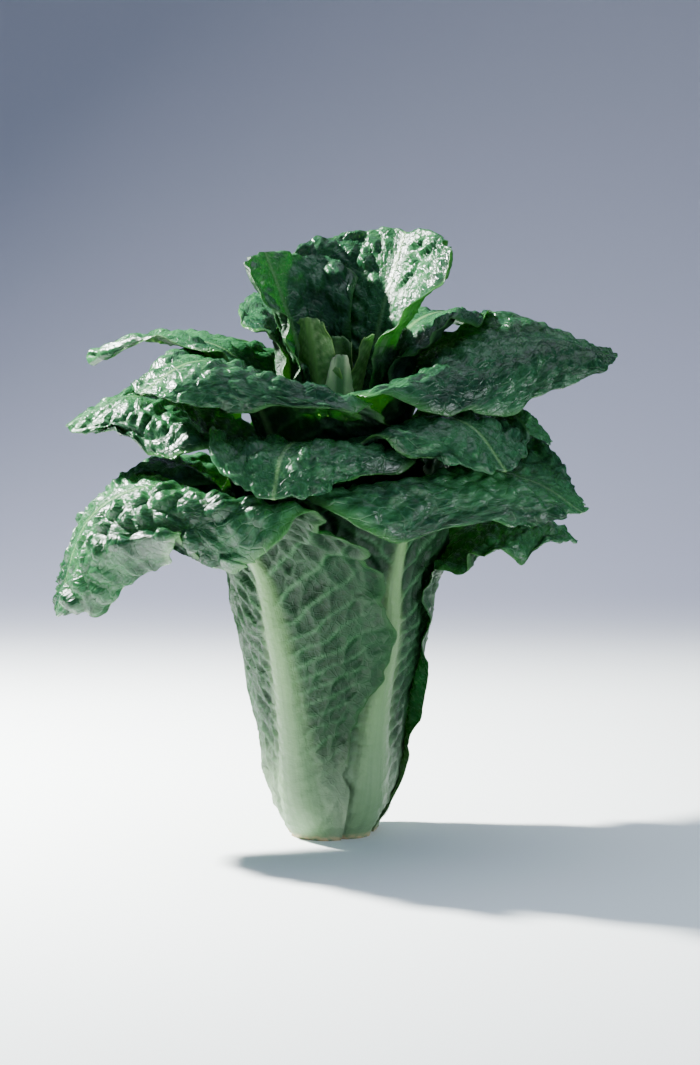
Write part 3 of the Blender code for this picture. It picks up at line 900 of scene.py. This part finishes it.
def add_blade(piece: Piece, grid: BladeGrid, upper: np.ndarray, under: np.ndarray, low: np.ndarray) -> None:
    """Adds a blade's closed shell to a piece.

    Args:
        piece: The piece it goes into.
        grid: The worked-out blade.
        upper: Points of the upper face.
        under: Points of the underside.
        low: How near the butt each point is, from 0 to 1.
    """
    rows, columns = upper.shape[:2]
    flat = np.stack([grid.w * grid.sign, grid.a], -1) / MAP_MM
    margin = rise(grid.u, 0.93, 1) * (0.3 + 0.7 * grid.free)
    vein = np.maximum.reduce([grid.vein * (1 - 0.5 * grid.u), 0.45 * grid.net, 0.4 * grid.tiny])
    marks = np.stack([vein, margin, grid.rib], -1)
    cut = rise(upper[..., 2], LEAF_CUT_HEIGHT, 0)
    sides = [np.stack([low, cut, np.full(low.shape, side)], -1).reshape(-1, 3) for side in (0.0, 1.0)]
    piece.add(
        np.concatenate([upper.reshape(-1, 3), under.reshape(-1, 3)]),
        ShellMesh.quads(rows, columns),
        np.tile(flat.reshape(-1, 2), (2, 1)),
        np.tile(marks.reshape(-1, 3), (2, 1)),
        np.concatenate(sides),
    )


class OuterLeaf:
    """One of the leaves that wrap the head."""

    # Shares of the rows below the waist, on a leaf that shows there and on one that is covered.
    ROWS_BELOW = (0.34, 0.2)
    # Height in metres above which a leaf no longer counts as near the butt.
    PALE_HEIGHT = 0.22
    # Heights in metres between which the foot of a leaf on the cut face turns to stand level.
    LEVEL_FROM, LEVEL_TO = 0.014, 0.002

    def __init__(self, body: HeadBody, order: int) -> None:
        """Picks the leaf.

        Args:
            body: The head's closed half.
            order: The leaf's place, 0 being the outermost.
        """
        self.body, self.order, self.form = body, order, LEAVES[order]
        low = np.linspace(self.form.base_height, body.waist_height, BASE_POINTS)
        points = [(float(body.planned(order, z)), z, 0.0) for z in low] + list(self.form.crown)
        self.route = Route(points, self.form.azimuth, BASE_POINTS - 1)
        self.on_cut = self.form.base_height < 0

    def push(self, theta: np.ndarray, height: np.ndarray) -> np.ndarray:
        """How far the leaves inside hold this one out at an angle and height: nest - planned."""
        level = np.clip(height, None, self.body.waist_height)
        return self.body.nest(self.order, theta, level) - self.body.planned(self.order, level)

    def rows(self, count: int) -> np.ndarray:
        """Rows from base to tip, most of them above the waist.

        Args:
            count: How many rows there are.

        Returns:
            Shares of the rib's length. A leaf that reaches the cut face starts where its rib is at
            height 0.
        """
        route, first = self.route, 0.0
        if self.on_cut:
            base = CURVE_STEPS * (BASE_POINTS - 1) + 1
            first = float(np.interp(0.0, route.curve[:base, 1], route.share[:base]))
        below = round(count * self.ROWS_BELOW[0 if self.on_cut else 1])
        low = np.linspace(first, route.waist, below, endpoint=False)
        return np.concatenate([low, np.linspace(route.waist, 1, count - below)])

    def rib(self, s: np.ndarray, height: np.ndarray) -> tuple[np.ndarray, np.ndarray]:
        """Sizes of the rib.

        Args:
            s: Shares of its length.
            height: Heights of the same places above the cut face.

        Returns:
            How far the rib stands out, as the head says up to the waist and then falling straight to
            its size at the tip, and half its width, tip + (butt - tip) (1 - s)^narrowing.
        """
        body, waist = self.body, self.route.waist
        crown = np.clip((s - waist) / (1 - waist), 0, 1)
        at_waist = body.rib_height(self.order, np.array(body.waist_height))
        top = at_waist * (1 - crown) + body.rib_at_tip * crown
        rib = np.where(s < waist, body.rib_height(self.order, height), top)
        narrowing = (1 - s) ** body.rib_narrowing
        return rib, body.rib_half_at_tip + (body.rib_half_at_butt - body.rib_half_at_tip) * narrowing

    def build(self, relief: Relief, material: bpy.types.Material) -> bpy.types.Object:
        """Makes the leaf.

        Args:
            relief: Sizes of its veins and blisters.
            material: Its finish.

        Returns:
            The object.
        """
        rows, columns = DETAIL.get(self.form.name, USUAL_DETAIL)
        s = self.rows(rows)
        grid = BladeGrid(self.form, self.route, relief, seed=1.3 * self.order + 0.7)
        grid.sweep(s, crowded(columns), self.push)
        grid.mark()
        height = np.interp(s, self.route.share, self.route.curve[:, 1])
        flat = rise(height, self.LEVEL_FROM, self.LEVEL_TO) if self.on_cut else None
        upper, under = grid.faces(*self.rib(s, height), self.body.blade, flat)
        upper[..., 2] = np.maximum(upper[..., 2], 0)
        under[..., 2] = np.maximum(under[..., 2], 0)
        low = 1 - np.clip(upper[..., 2] / self.PALE_HEIGHT, 0, 1)
        piece = Piece(self.form.name.replace("leaf", "romaine_leaf"))
        add_blade(piece, grid, upper, under, low)
        return piece.build(material, self.form.name, Slot.GREEN)


@dataclass(frozen=True)
class Heart:
    """The young leaves in the middle and the core that they stand on, in metres.

    pale_at_base is how pale a leaf is at its base, from 0 to 1, and pale_fade how much less for each
    metre up. The first young leaf is cream all over.
    """

    base_radius: float = 0.004
    rib: float = 0.0015
    rib_thinning: float = 0.7
    rib_half: float = 0.004
    blade: float = 0.0008
    rows: int = 70
    columns: int = 44
    pale_at_base: float = 0.75
    pale_fade: float = 6.0
    cream: float = 1.0
    core_sides: int = 48
    core_pale: float = 0.8
    core_ridges: int = 5
    core_ridge: float = 0.05
    ridge_from: float = 0.09
    ridge_full: float = 0.14

    def build(self, relief: Relief, material: bpy.types.Material) -> bpy.types.Object:
        """Makes the heart as one object.

        Args:
            relief: Sizes of the young leaves' veins and blisters.
            material: Its finish.

        Returns:
            The object.
        """
        piece = Piece("romaine_heart")
        self.add_core(piece)
        s = np.linspace(0, 1, self.rows)
        for number, form in enumerate(YOUNG_LEAVES):
            route = Route([(self.base_radius, form.base_height, 0.0), *form.crown], form.azimuth, None)
            grid = BladeGrid(form, route, relief, seed=40 + 1.9 * number)
            grid.sweep(s, crowded(self.columns), lambda theta, height: 0.0)
            grid.mark()
            rib = self.rib * (1 - self.rib_thinning * s)
            upper, under = grid.faces(rib, np.full(self.rows, self.rib_half), self.blade, None)
            pale = self.pale_at_base - (upper[..., 2] - form.base_height) * self.pale_fade
            pale = np.clip(pale, 0.0, 1)
            add_blade(piece, grid, upper, under, np.maximum(pale, self.cream if number == 0 else 0.0))
        return piece.build(material, "heart", Slot.PALE)

    def add_core(self, piece: Piece) -> None:
        """Adds the core: its profile turned round the axis, times 1 + ridge sin(ridges angle).

        Args:
            piece: The piece it goes into.
        """
        profile = smooth_curve(list(CORE_PROFILE), 4)
        # The ends on the axis are left out, as add_turned closes it with poles.
        profile = profile[profile[:, 0] > self.base_radius / 10]
        angle = np.linspace(0, 2 * math.pi, self.core_sides, endpoint=False)[None, :]
        r, z = profile[:, :1], profile[:, 1:]
        ridge = self.core_ridge * np.sin(self.core_ridges * angle)
        ridge = ridge * rise(z, self.ridge_from, self.ridge_full)
        add_turned(piece, r * (1 + ridge), z, angle, np.full(len(profile), self.core_pale))


def add_turned(
    piece: Piece, radius: np.ndarray, height: np.ndarray, angle: np.ndarray, low: np.ndarray
) -> None:
    """Adds a closed solid made of rings round the axis, from its foot up.

    Args:
        piece: The piece it goes into.
        radius: Radius of each point, rings by sides.
        height: Height of each ring, as a column.
        angle: Angle of each side, as a row.
        low: How near the butt each ring counts as, from 0 to 1.
    """
    ring = np.stack([radius * np.cos(angle), radius * np.sin(angle), height + 0 * angle], -1)
    rings, sides = ring.shape[:2]
    poles = np.array([[0, 0, ring[0, 0, 2]], [0, 0, ring[-1, 0, 2]]])
    points = np.concatenate([ring.reshape(-1, 3), poles])
    index = np.arange(rings * sides).reshape(rings, sides)
    after = np.roll(index, -1, axis=1)
    wall = np.stack([index[:-1], after[:-1], after[1:], index[1:]], -1).reshape(-1, 4)
    none, foot, top = np.full(sides, -1), np.full(sides, rings * sides), np.full(sides, rings * sides + 1)
    caps = [np.stack([after[0], index[0], foot, none], -1), np.stack([index[-1], after[-1], top, none], -1)]
    lows = np.concatenate([np.repeat(low, sides), low[[0, -1]]])
    places = np.column_stack([lows, rise(points[:, 2], STEM_CUT_HEIGHT, 0), np.zeros(len(points))])
    flat = np.column_stack([points[:, 0], points[:, 1] + points[:, 2]]) * MM / MAP_MM
    piece.add(points, np.concatenate([wall, *caps]), flat, np.zeros((len(points), 3)), places)


@dataclass(frozen=True)
class Stem:
    """The short stem between the leaf bases, with its cut foot. dish rounds its rim, in metres."""

    sides: int = 72
    rings: int = 40
    foot_rings: int = 8
    foot_centre: float = 0.15
    dish: float = 0.0004
    ribs: int = 9
    ribbing: float = 0.015

    def build(self, body: HeadBody, material: bpy.types.Material) -> bpy.types.Object:
        """Makes the stem.

        Args:
            body: The head's closed half, for the stem's sizes.
            material: Its finish.

        Returns:
            The object. Its radius is the taper's x (1 - ribbing + ribbing sin(ribs angle)).
        """
        piece = Piece("romaine_stem")
        foot = np.linspace(self.foot_centre, 1, self.foot_rings) * (1 - self.dish / body.stem_radius)
        wall = np.linspace(self.dish, body.stem_height, self.rings)
        z = np.concatenate([np.zeros(self.foot_rings), wall])[:, None]
        share = np.concatenate([foot, np.ones(self.rings)])[:, None]
        angle = np.linspace(0, 2 * math.pi, self.sides, endpoint=False)[None, :]
        ribbed = 1 - self.ribbing + self.ribbing * np.sin(self.ribs * angle) * share
        radius = body.stem(z) * share * ribbed
        add_turned(piece, radius, z, angle, np.ones(len(z)))
        return piece.build(material, "stem", Slot.WHITE)


class Graph:
    """Builds the nodes of one material."""

    def __init__(self, name: str) -> None:
        """Starts a material with a Principled shader.

        Args:
            name: The material's name.
        """
        self.material = bpy.data.materials.new(name)
        self.material.use_nodes = True
        self.tree = self.material.node_tree
        self.shader = self.tree.nodes["Principled BSDF"]
        self.output = self.tree.nodes["Material Output"]

    def node(self, kind: str, inputs: dict | None = None, **settings: object) -> bpy.types.Node:
        """Adds a node.

        Args:
            kind: Its type, after ShaderNode.
            inputs: Values or sockets for its inputs, by name or number.
            **settings: Its properties.

        Returns:
            The node.
        """
        node = self.tree.nodes.new("ShaderNode" + kind)
        for key, value in settings.items():
            setattr(node, key, value)
        for key, value in (inputs or {}).items():
            if isinstance(value, bpy.types.NodeSocket):
                self.tree.links.new(value, node.inputs[key])
            else:
                node.inputs[key].default_value = value
        return node

    def math(self, operation: str, a: Value, b: Value, clamp: bool = False) -> Socket:
        """An operation on two sockets or numbers, held within 0 and 1 if clamp is set."""
        return self.node("Math", {0: a, 1: b}, operation=operation, use_clamp=clamp).outputs[0]

    def plus(self, a: Value, b: Value) -> Socket:
        """The sum of two sockets or numbers."""
        return self.math("ADD", a, b)

    def minus(self, a: Value, b: Value) -> Socket:
        """The first socket or number less the second."""
        return self.math("SUBTRACT", a, b)

    def times(self, a: Value, b: Value) -> Socket:
        """The product of two sockets or numbers."""
        return self.math("MULTIPLY", a, b)

    def mix(self, share: Value, a: Tone, b: Tone) -> Socket:
        """A colour between a and b, each a socket or three numbers; share 0 gives a."""
        a, b = ((*c, 1.0) if isinstance(c, tuple) else c for c in (a, b))
        return self.node("Mix", {0: share, 6: a, 7: b}, data_type="RGBA").outputs[2]

    def noise(self, vector: Socket, scale: float, detail: float = 2.0) -> Socket:
        """Noise from 0 to 1 at the points of a vector socket."""
        return self.node("TexNoise", {"Vector": vector, "Scale": scale, "Detail": detail}).outputs[0]

    def streaks(self, vector: Socket, scale: Colour, detail: float = 2.0) -> Socket:
        """Noise from 0 to 1 at the points of a vector socket, stretched by a scale for each axis."""
        return self.noise(self.node("Mapping", {"Vector": vector, "Scale": scale}).outputs[0], 1.0, detail)

    def borders(self, vector: Socket, scale: float) -> Socket:
        """The distance to the nearest border of a cellular pattern, in cells."""
        inputs = {"Vector": vector, "Scale": scale}
        return self.node("TexVoronoi", inputs, feature="DISTANCE_TO_EDGE").outputs[0]

    def ramp(self, value: Socket, low: float, high: float) -> Socket:
        """Maps low to high onto 0 to 1, smoothly and within those limits."""
        inputs = {0: value, 1: low, 2: high, 3: 0.0, 4: 1.0}
        return self.node("MapRange", inputs, interpolation_type="SMOOTHSTEP").outputs[0]

    def marks(self, name: str) -> list[Socket]:
        """The three numbers of a vector attribute, as sockets."""
        vector = self.node("Attribute", attribute_name=name).outputs["Vector"]
        return list(self.node("SeparateXYZ", {0: vector}).outputs)

    def dress(self, **sockets: Socket) -> None:
        """Links sockets to the shader's inputs, _ in a name standing for a blank."""
        for name, socket in sockets.items():
            self.tree.links.new(socket, self.shader.inputs[name.replace("_", " ")])


@dataclass(frozen=True)
class LeafMap:
    """What the parts of a leaf's finish share: its map, its marks from 0 to 1 and two patterns."""

    uv: Socket
    vein: Socket
    margin: Socket
    rib: Socket
    low: Socket
    cut: Socket
    under: Socket
    fine: Socket
    net: Socket


@dataclass(frozen=True)
class LeafFinish:
    """Colours and gloss of a leaf: green above, greyer below, with pale veins, ribs and base.

    Pattern scales are in marks to one unit of the leaf's map, which is 100 mm.
    """

    name: str
    dark: Colour
    mid: Colour
    under: Colour
    vein_upper: Colour
    vein_under: Colour
    margin: Colour
    base: Colour
    rib_upper: Colour = (0.12, 0.24, 0.075)
    rib_low: Colour = (0.13, 0.23, 0.11)
    cut: Colour = (0.50, 0.36, 0.20)
    glow: Colour = (0.18, 0.50, 0.04)
    # Painted sheen: a pale bluish tint and its share on the upper face, in place of glossy highlights.
    painted_sheen_colour: Colour = (0.16, 0.36, 0.25)
    painted_sheen_share: float = 0.16
    net_scale: float = 21.0
    strand_scale: Colour = (42.0, 1.6, 1.0)
    grain_scale: Colour = (60.0, 4.0, 1.0)
    rough_low: float = 0.14
    rough_high: float = 0.36
    matt_under: float = 0.28
    shine: float = 0.42
    thin_upper: float = 2.6
    through: float = 0.38
    bump: float = 0.55
    bump_depth: float = 0.0014

    def read(self, g: Graph) -> LeafMap:
        """Reads the leaf's map and its marks and places attributes.

        Args:
            g: The material's graph.

        Returns:
            The map. Veins and ribs are thinner on the upper face, where they are raised to a power,
            and the net is 1 on the borders of a cellular pattern.
        """
        uv = g.node("UVMap", uv_map="leaf_map").outputs[0]
        vein, margin, rib = g.marks("marks")
        low, cut, under = g.marks("places")
        power = g.minus(self.thin_upper, g.times(under, self.thin_upper - 1))
        vein, rib = g.math("POWER", vein, power), g.math("POWER", rib, power)
        net = g.minus(1.0, g.ramp(g.borders(uv, self.net_scale), 0.0, 0.075))
        return LeafMap(uv, vein, margin, rib, low, cut, under, g.noise(uv, 34.0, 3.0), net)

    def rib_colour(self, g: Graph, leaf: LeafMap) -> Socket:
        """Colour of the rib, darker in the strands that run along it.

        Args:
            g: The material's graph.
            leaf: The leaf's map.

        Returns:
            The colour.
        """
        flesh = g.mix(g.ramp(leaf.low, 0.25, 1.0), self.rib_upper, self.rib_low)
        strand = g.ramp(g.streaks(leaf.uv, self.strand_scale, 3.0), 0.42, 0.68)
        return g.mix(g.times(strand, 0.35), flesh, tuple(0.62 * c for c in self.rib_low))

    def colour(self, g: Graph, leaf: LeafMap) -> Socket:
        """Colour of the whole leaf.

        Args:
            g: The material's graph.
            leaf: The leaf's map.

        Returns:
            The mottled flesh of the face and the underside, covered in turn by the veins, a painted
            sheen in patches on the upper face, the margin, the pale base, the rib and the browned end.
        """
        mottle = g.plus(g.times(g.noise(leaf.uv, 2.6, 3.0), 0.65), g.times(leaf.fine, 0.35))
        tone = g.ramp(mottle, 0.38, 0.62)
        above = g.mix(tone, self.dark, self.mid)
        below = g.mix(tone, tuple(c * 0.5 for c in self.under), self.under)
        face = g.mix(leaf.under, above, below)
        strength = g.math("MAXIMUM", leaf.vein, g.times(leaf.net, 0.22))
        strength = g.math("MULTIPLY", strength, g.plus(0.62, g.times(leaf.under, 0.2)), clamp=True)
        face = g.mix(strength, face, g.mix(leaf.under, self.vein_upper, self.vein_under))
        # Painted sheen: patches of the upper face tinted pale bluish, in place of highlights.
        painted_sheen_patches = g.times(g.ramp(g.noise(leaf.uv, 75.0, 3.0), 0.48, 0.72), g.minus(1.0, leaf.under))
        face = g.mix(g.times(painted_sheen_patches, self.painted_sheen_share), face, self.painted_sheen_colour)
        face = g.mix(g.times(leaf.margin, 0.55), face, self.margin)
        face = g.mix(g.times(g.ramp(leaf.low, 0.70, 1.0), 0.85), face, self.base)
        shown = g.times(leaf.rib, g.plus(0.6, g.times(leaf.under, 0.4)))
        face = g.mix(shown, face, self.rib_colour(g, leaf))
        return g.mix(g.times(leaf.cut, g.ramp(leaf.fine, 0.3, 0.6)), face, self.cut)

    def roughness(self, g: Graph, leaf: LeafMap) -> Socket:
        """Roughness of the leaf.

        Args:
            g: The material's graph.
            leaf: The leaf's map.

        Returns:
            A patchy gloss between the two limits on the upper face, and matter below.
        """
        limits = {0: leaf.fine, 1: 0.3, 2: 0.7, 3: self.rough_low, 4: self.rough_high}
        return g.plus(g.node("MapRange", limits).outputs[0], g.times(leaf.under, self.matt_under))

    def grain(self, g: Graph, leaf: LeafMap) -> Socket:
        """Bumps that are too fine for the mesh.

        Args:
            g: The material's graph.
            leaf: The leaf's map.

        Returns:
            The bumped normal: three sizes of noise, the net of small veins, sunk above and raised
            below, and the grain along the rib.
        """
        height = g.plus(g.times(leaf.fine, 0.75), g.times(g.noise(leaf.uv, 190.0), 0.12))
        height = g.plus(height, g.times(g.noise(leaf.uv, 82.0), 0.3))
        ridge = g.times(leaf.net, g.minus(g.times(leaf.under, 0.5), 0.25))
        height = g.plus(height, g.times(ridge, g.minus(1.0, leaf.rib)))
        streak = g.streaks(leaf.uv, self.grain_scale)
        height = g.plus(height, g.times(streak, g.times(leaf.rib, 0.5)))
        inputs = {"Height": height, "Strength": self.bump, "Distance": self.bump_depth}
        return g.node("Bump", inputs).outputs[0]

    def material(self) -> bpy.types.Material:
        """Makes the material.

        Returns:
            A waxy surface mixed with light that comes through the blade, less through the rib.
        """
        g = Graph(self.name)
        leaf = self.read(g)
        face, bump = self.colour(g, leaf), self.grain(g, leaf)
        g.dress(Base_Color=face, Roughness=self.roughness(g, leaf), Normal=bump)
        g.shader.inputs["Specular IOR Level"].default_value = self.shine
        through = g.node("BsdfTranslucent", {"Color": g.mix(0.45, face, self.glow), "Normal": bump})
        share = g.times(g.minus(1.0, g.times(leaf.rib, 0.75)), self.through)
        blend = g.node("MixShader", {0: share, 1: g.shader.outputs[0], 2: through.outputs[0]})
        g.tree.links.new(blend.outputs[0], g.output.inputs["Surface"])
        return g.material


GREEN_LEAF = LeafFinish(
    "leaf_green_waxy", dark=(0.004, 0.036, 0.014), mid=(0.028, 0.140, 0.048), under=(0.003, 0.043, 0.011),
    vein_upper=(0.08, 0.25, 0.07), vein_under=(0.06, 0.21, 0.07), margin=(0.06, 0.22, 0.04),
    base=(0.32, 0.43, 0.28),
)
YOUNG_LEAF = LeafFinish(
    "leaf_pale_waxy", dark=(0.030, 0.110, 0.020), mid=(0.080, 0.240, 0.050), under=(0.16, 0.34, 0.10),
    vein_upper=(0.30, 0.46, 0.18), vein_under=(0.40, 0.54, 0.26), margin=(0.34, 0.52, 0.14),
    base=(0.84, 0.88, 0.60), rib_upper=(0.16, 0.32, 0.08), rough_low=0.32, rough_high=0.48,
    through=0.42, bump=0.35,
)


@dataclass(frozen=True)
class StemFinish:
    """White flesh with greenish strands and a browned cut. Pattern scales are in marks a metre."""

    name: str = "stem_white_flesh"
    flesh: Colour = (0.80, 0.82, 0.64)
    strand: Colour = (0.58, 0.66, 0.36)
    cut: Colour = (0.46, 0.32, 0.17)
    strand_scale: Colour = (900.0, 900.0, 40.0)
    pore_scale: float = 800.0
    brown_scale: float = 260.0
    roughness: float = 0.42
    soft: float = 0.2
    soft_depth: Colour = (0.003, 0.003, 0.0015)
    bump: float = 0.4
    bump_depth: float = 0.0004

    def material(self) -> bpy.types.Material:
        """Makes the material.

        Returns:
            Flesh with strands that run up the stem, pores, and brown patches on the cut.
        """
        g = Graph(self.name)
        place = g.node("TexCoord").outputs["Object"]
        strand = g.ramp(g.streaks(place, self.strand_scale), 0.45, 0.7)
        pores = g.borders(place, self.pore_scale)
        cut = g.marks("places")[1]
        brown = g.times(cut, g.ramp(g.noise(place, self.brown_scale, 3.0), 0.35, 0.65))
        face = g.mix(brown, g.mix(g.times(strand, 0.6), self.flesh, self.strand), self.cut)
        inputs = {"Height": g.plus(pores, strand), "Strength": self.bump, "Distance": self.bump_depth}
        g.dress(Base_Color=face, Normal=g.node("Bump", inputs).outputs[0])
        settings = {"Roughness": self.roughness, "Subsurface Weight": self.soft,
                    "Subsurface Radius": self.soft_depth, "Subsurface Scale": 1.0}
        for name, value in settings.items():
            g.shader.inputs[name].default_value = value
        return g.material


@dataclass(frozen=True)
class Lamp:
    """A square soft light. Its place and side are in metres and its power is in watts."""

    name: str
    place: Place
    side: float
    power: float
    colour: Colour

    def build(self, target: Place) -> None:
        """Puts the light in the scene.

        Args:
            target: The point that it faces.
        """
        lamp = bpy.data.lights.new(self.name, "AREA")
        lamp.energy, lamp.size, lamp.color = self.power, self.side, self.colour
        obj = bpy.data.objects.new(self.name, lamp)
        obj.location = self.place
        obj.rotation_mode = "QUATERNION"
        obj.rotation_quaternion = (Vector(target) - Vector(self.place)).to_track_quat("-Z", "Y")
        bpy.context.scene.collection.objects.link(obj)


@dataclass(frozen=True)
class Studio:
    """A pale floor that curves up to a backdrop, soft lights and the camera."""

    half_width: float = 4.0
    front: float = -3.0
    back: float = 1.6
    bend: float = 0.9
    bend_steps: int = 40
    rise: float = 3.2
    floor_tone: Colour = (0.93, 0.97, 0.96)
    wall_tone: Colour = (0.27, 0.28, 0.37)
    # Painted shade: the wall's tone at its top.
    painted_shade_top_tone: Colour = (0.15, 0.155, 0.20)
    paper_roughness: float = 0.85
    air_tone: Colour = (0.44, 0.61, 1.0)
    air_power: float = 0.34
    target: Place = (0.0, 0.0, 0.15)
    lamps: tuple[Lamp, ...] = (
        Lamp("key", (-0.54, 0.21, 0.64), 0.05, 58.0, (0.99, 1.0, 0.97)),
        Lamp("sky", (0.3, 0.3, 2.0), 1.8, 24.0, (0.82, 0.92, 1.0)),
        Lamp("front", (-0.9, -1.9, 0.4), 0.8, 1.6, (0.90, 0.95, 1.0)),
        Lamp("side", (1.3, -0.9, 0.22), 0.5, 18.0, (0.88, 0.96, 1.0)),
    )
    eye: Place = (0.0076, -1.8, 0.390)
    tilt_down: float = 7.1
    lens: float = 112.7
    sensor: float = 36.0

    def build(self) -> None:
        """Puts the backdrop, lights, air and camera in the scene, and reports them."""
        self.backdrop()
        for lamp in self.lamps:
            lamp.build(self.target)
        self.air()
        self.camera()
        LOG.info("studio: %d lights", len(self.lamps))

    def backdrop(self) -> None:
        """Makes the floor and wall: one sheet that is level, turns up on a quarter circle and rises."""
        turn = np.linspace(0, math.pi / 2, self.bend_steps)
        y = np.concatenate([[self.front], self.back - self.bend + self.bend * np.sin(turn), [self.back]])
        z = np.concatenate([[0.0], self.bend * (1 - np.cos(turn)), [self.rise]])
        x = np.array([-self.half_width, self.half_width])
        points = np.stack(np.broadcast_arrays(x[None, :], y[:, None], z[:, None]), -1).reshape(-1, 3)
        index = np.arange(len(points)).reshape(-1, 2)
        faces = np.stack([index[:-1, 0], index[:-1, 1], index[1:, 1], index[1:, 0]], -1)
        mesh = bpy.data.meshes.new("backdrop")
        mesh.from_pydata(points.tolist(), [], faces.tolist())
        mesh.shade_smooth()
        mesh.materials.append(self.paper())
        obj = bpy.data.objects.new("backdrop", mesh)
        bpy.context.scene.collection.objects.link(obj)

    def paper(self) -> bpy.types.Material:
        """Makes the backdrop's material.

        Returns:
            The pale floor, which turns into the wall's tone with depth, and the wall darkened with height
            by painted shade.
        """
        g = Graph("backdrop_paper")
        place = g.node("TexCoord").outputs["Object"]
        depth, height = g.node("SeparateXYZ", {0: place}).outputs[1:3]
        # Painted shade: the wall darkens with height, in place of light falling off there.
        wall = g.mix(g.ramp(height, -0.2, 0.62), self.wall_tone, self.painted_shade_top_tone)
        g.dress(Base_Color=g.mix(g.ramp(depth, 0.36, 0.86), self.floor_tone, wall))
        g.shader.inputs["Roughness"].default_value = self.paper_roughness
        return g.material

    def air(self) -> None:
        """Lights the studio evenly from all sides."""
        world = bpy.data.worlds.new("studio")
        world.use_nodes = True
        background = world.node_tree.nodes["Background"]
        background.inputs[0].default_value = (*self.air_tone, 1)
        background.inputs[1].default_value = self.air_power
        bpy.context.scene.world = world

    def camera(self) -> None:
        """Sets the camera a little above the head and in front of it."""
        data = bpy.data.cameras.new("camera")
        data.sensor_width = self.sensor
        data.lens = self.lens
        obj = bpy.data.objects.new("camera", data)
        obj.location = self.eye
        obj.rotation_euler = (math.pi / 2 - math.radians(self.tilt_down), 0, 0)
        bpy.context.scene.collection.objects.link(obj)
        bpy.context.scene.camera = obj


def main() -> None:
    """Builds the head and its studio, and reports each piece."""
    logging.basicConfig(level=logging.INFO)
    body = HeadBody()
    green, pale, white = GREEN_LEAF.material(), YOUNG_LEAF.material(), StemFinish().material()
    Stem().build(body, white)
    for order, form in enumerate(LEAVES):
        OuterLeaf(body, order).build(RELIEFS.get(form.name, Relief()), green)
    Heart().build(YOUNG_RELIEF, pale)
    Studio().build()
    bpy.context.view_layer.update()


if __name__ == "__main__":
    main()
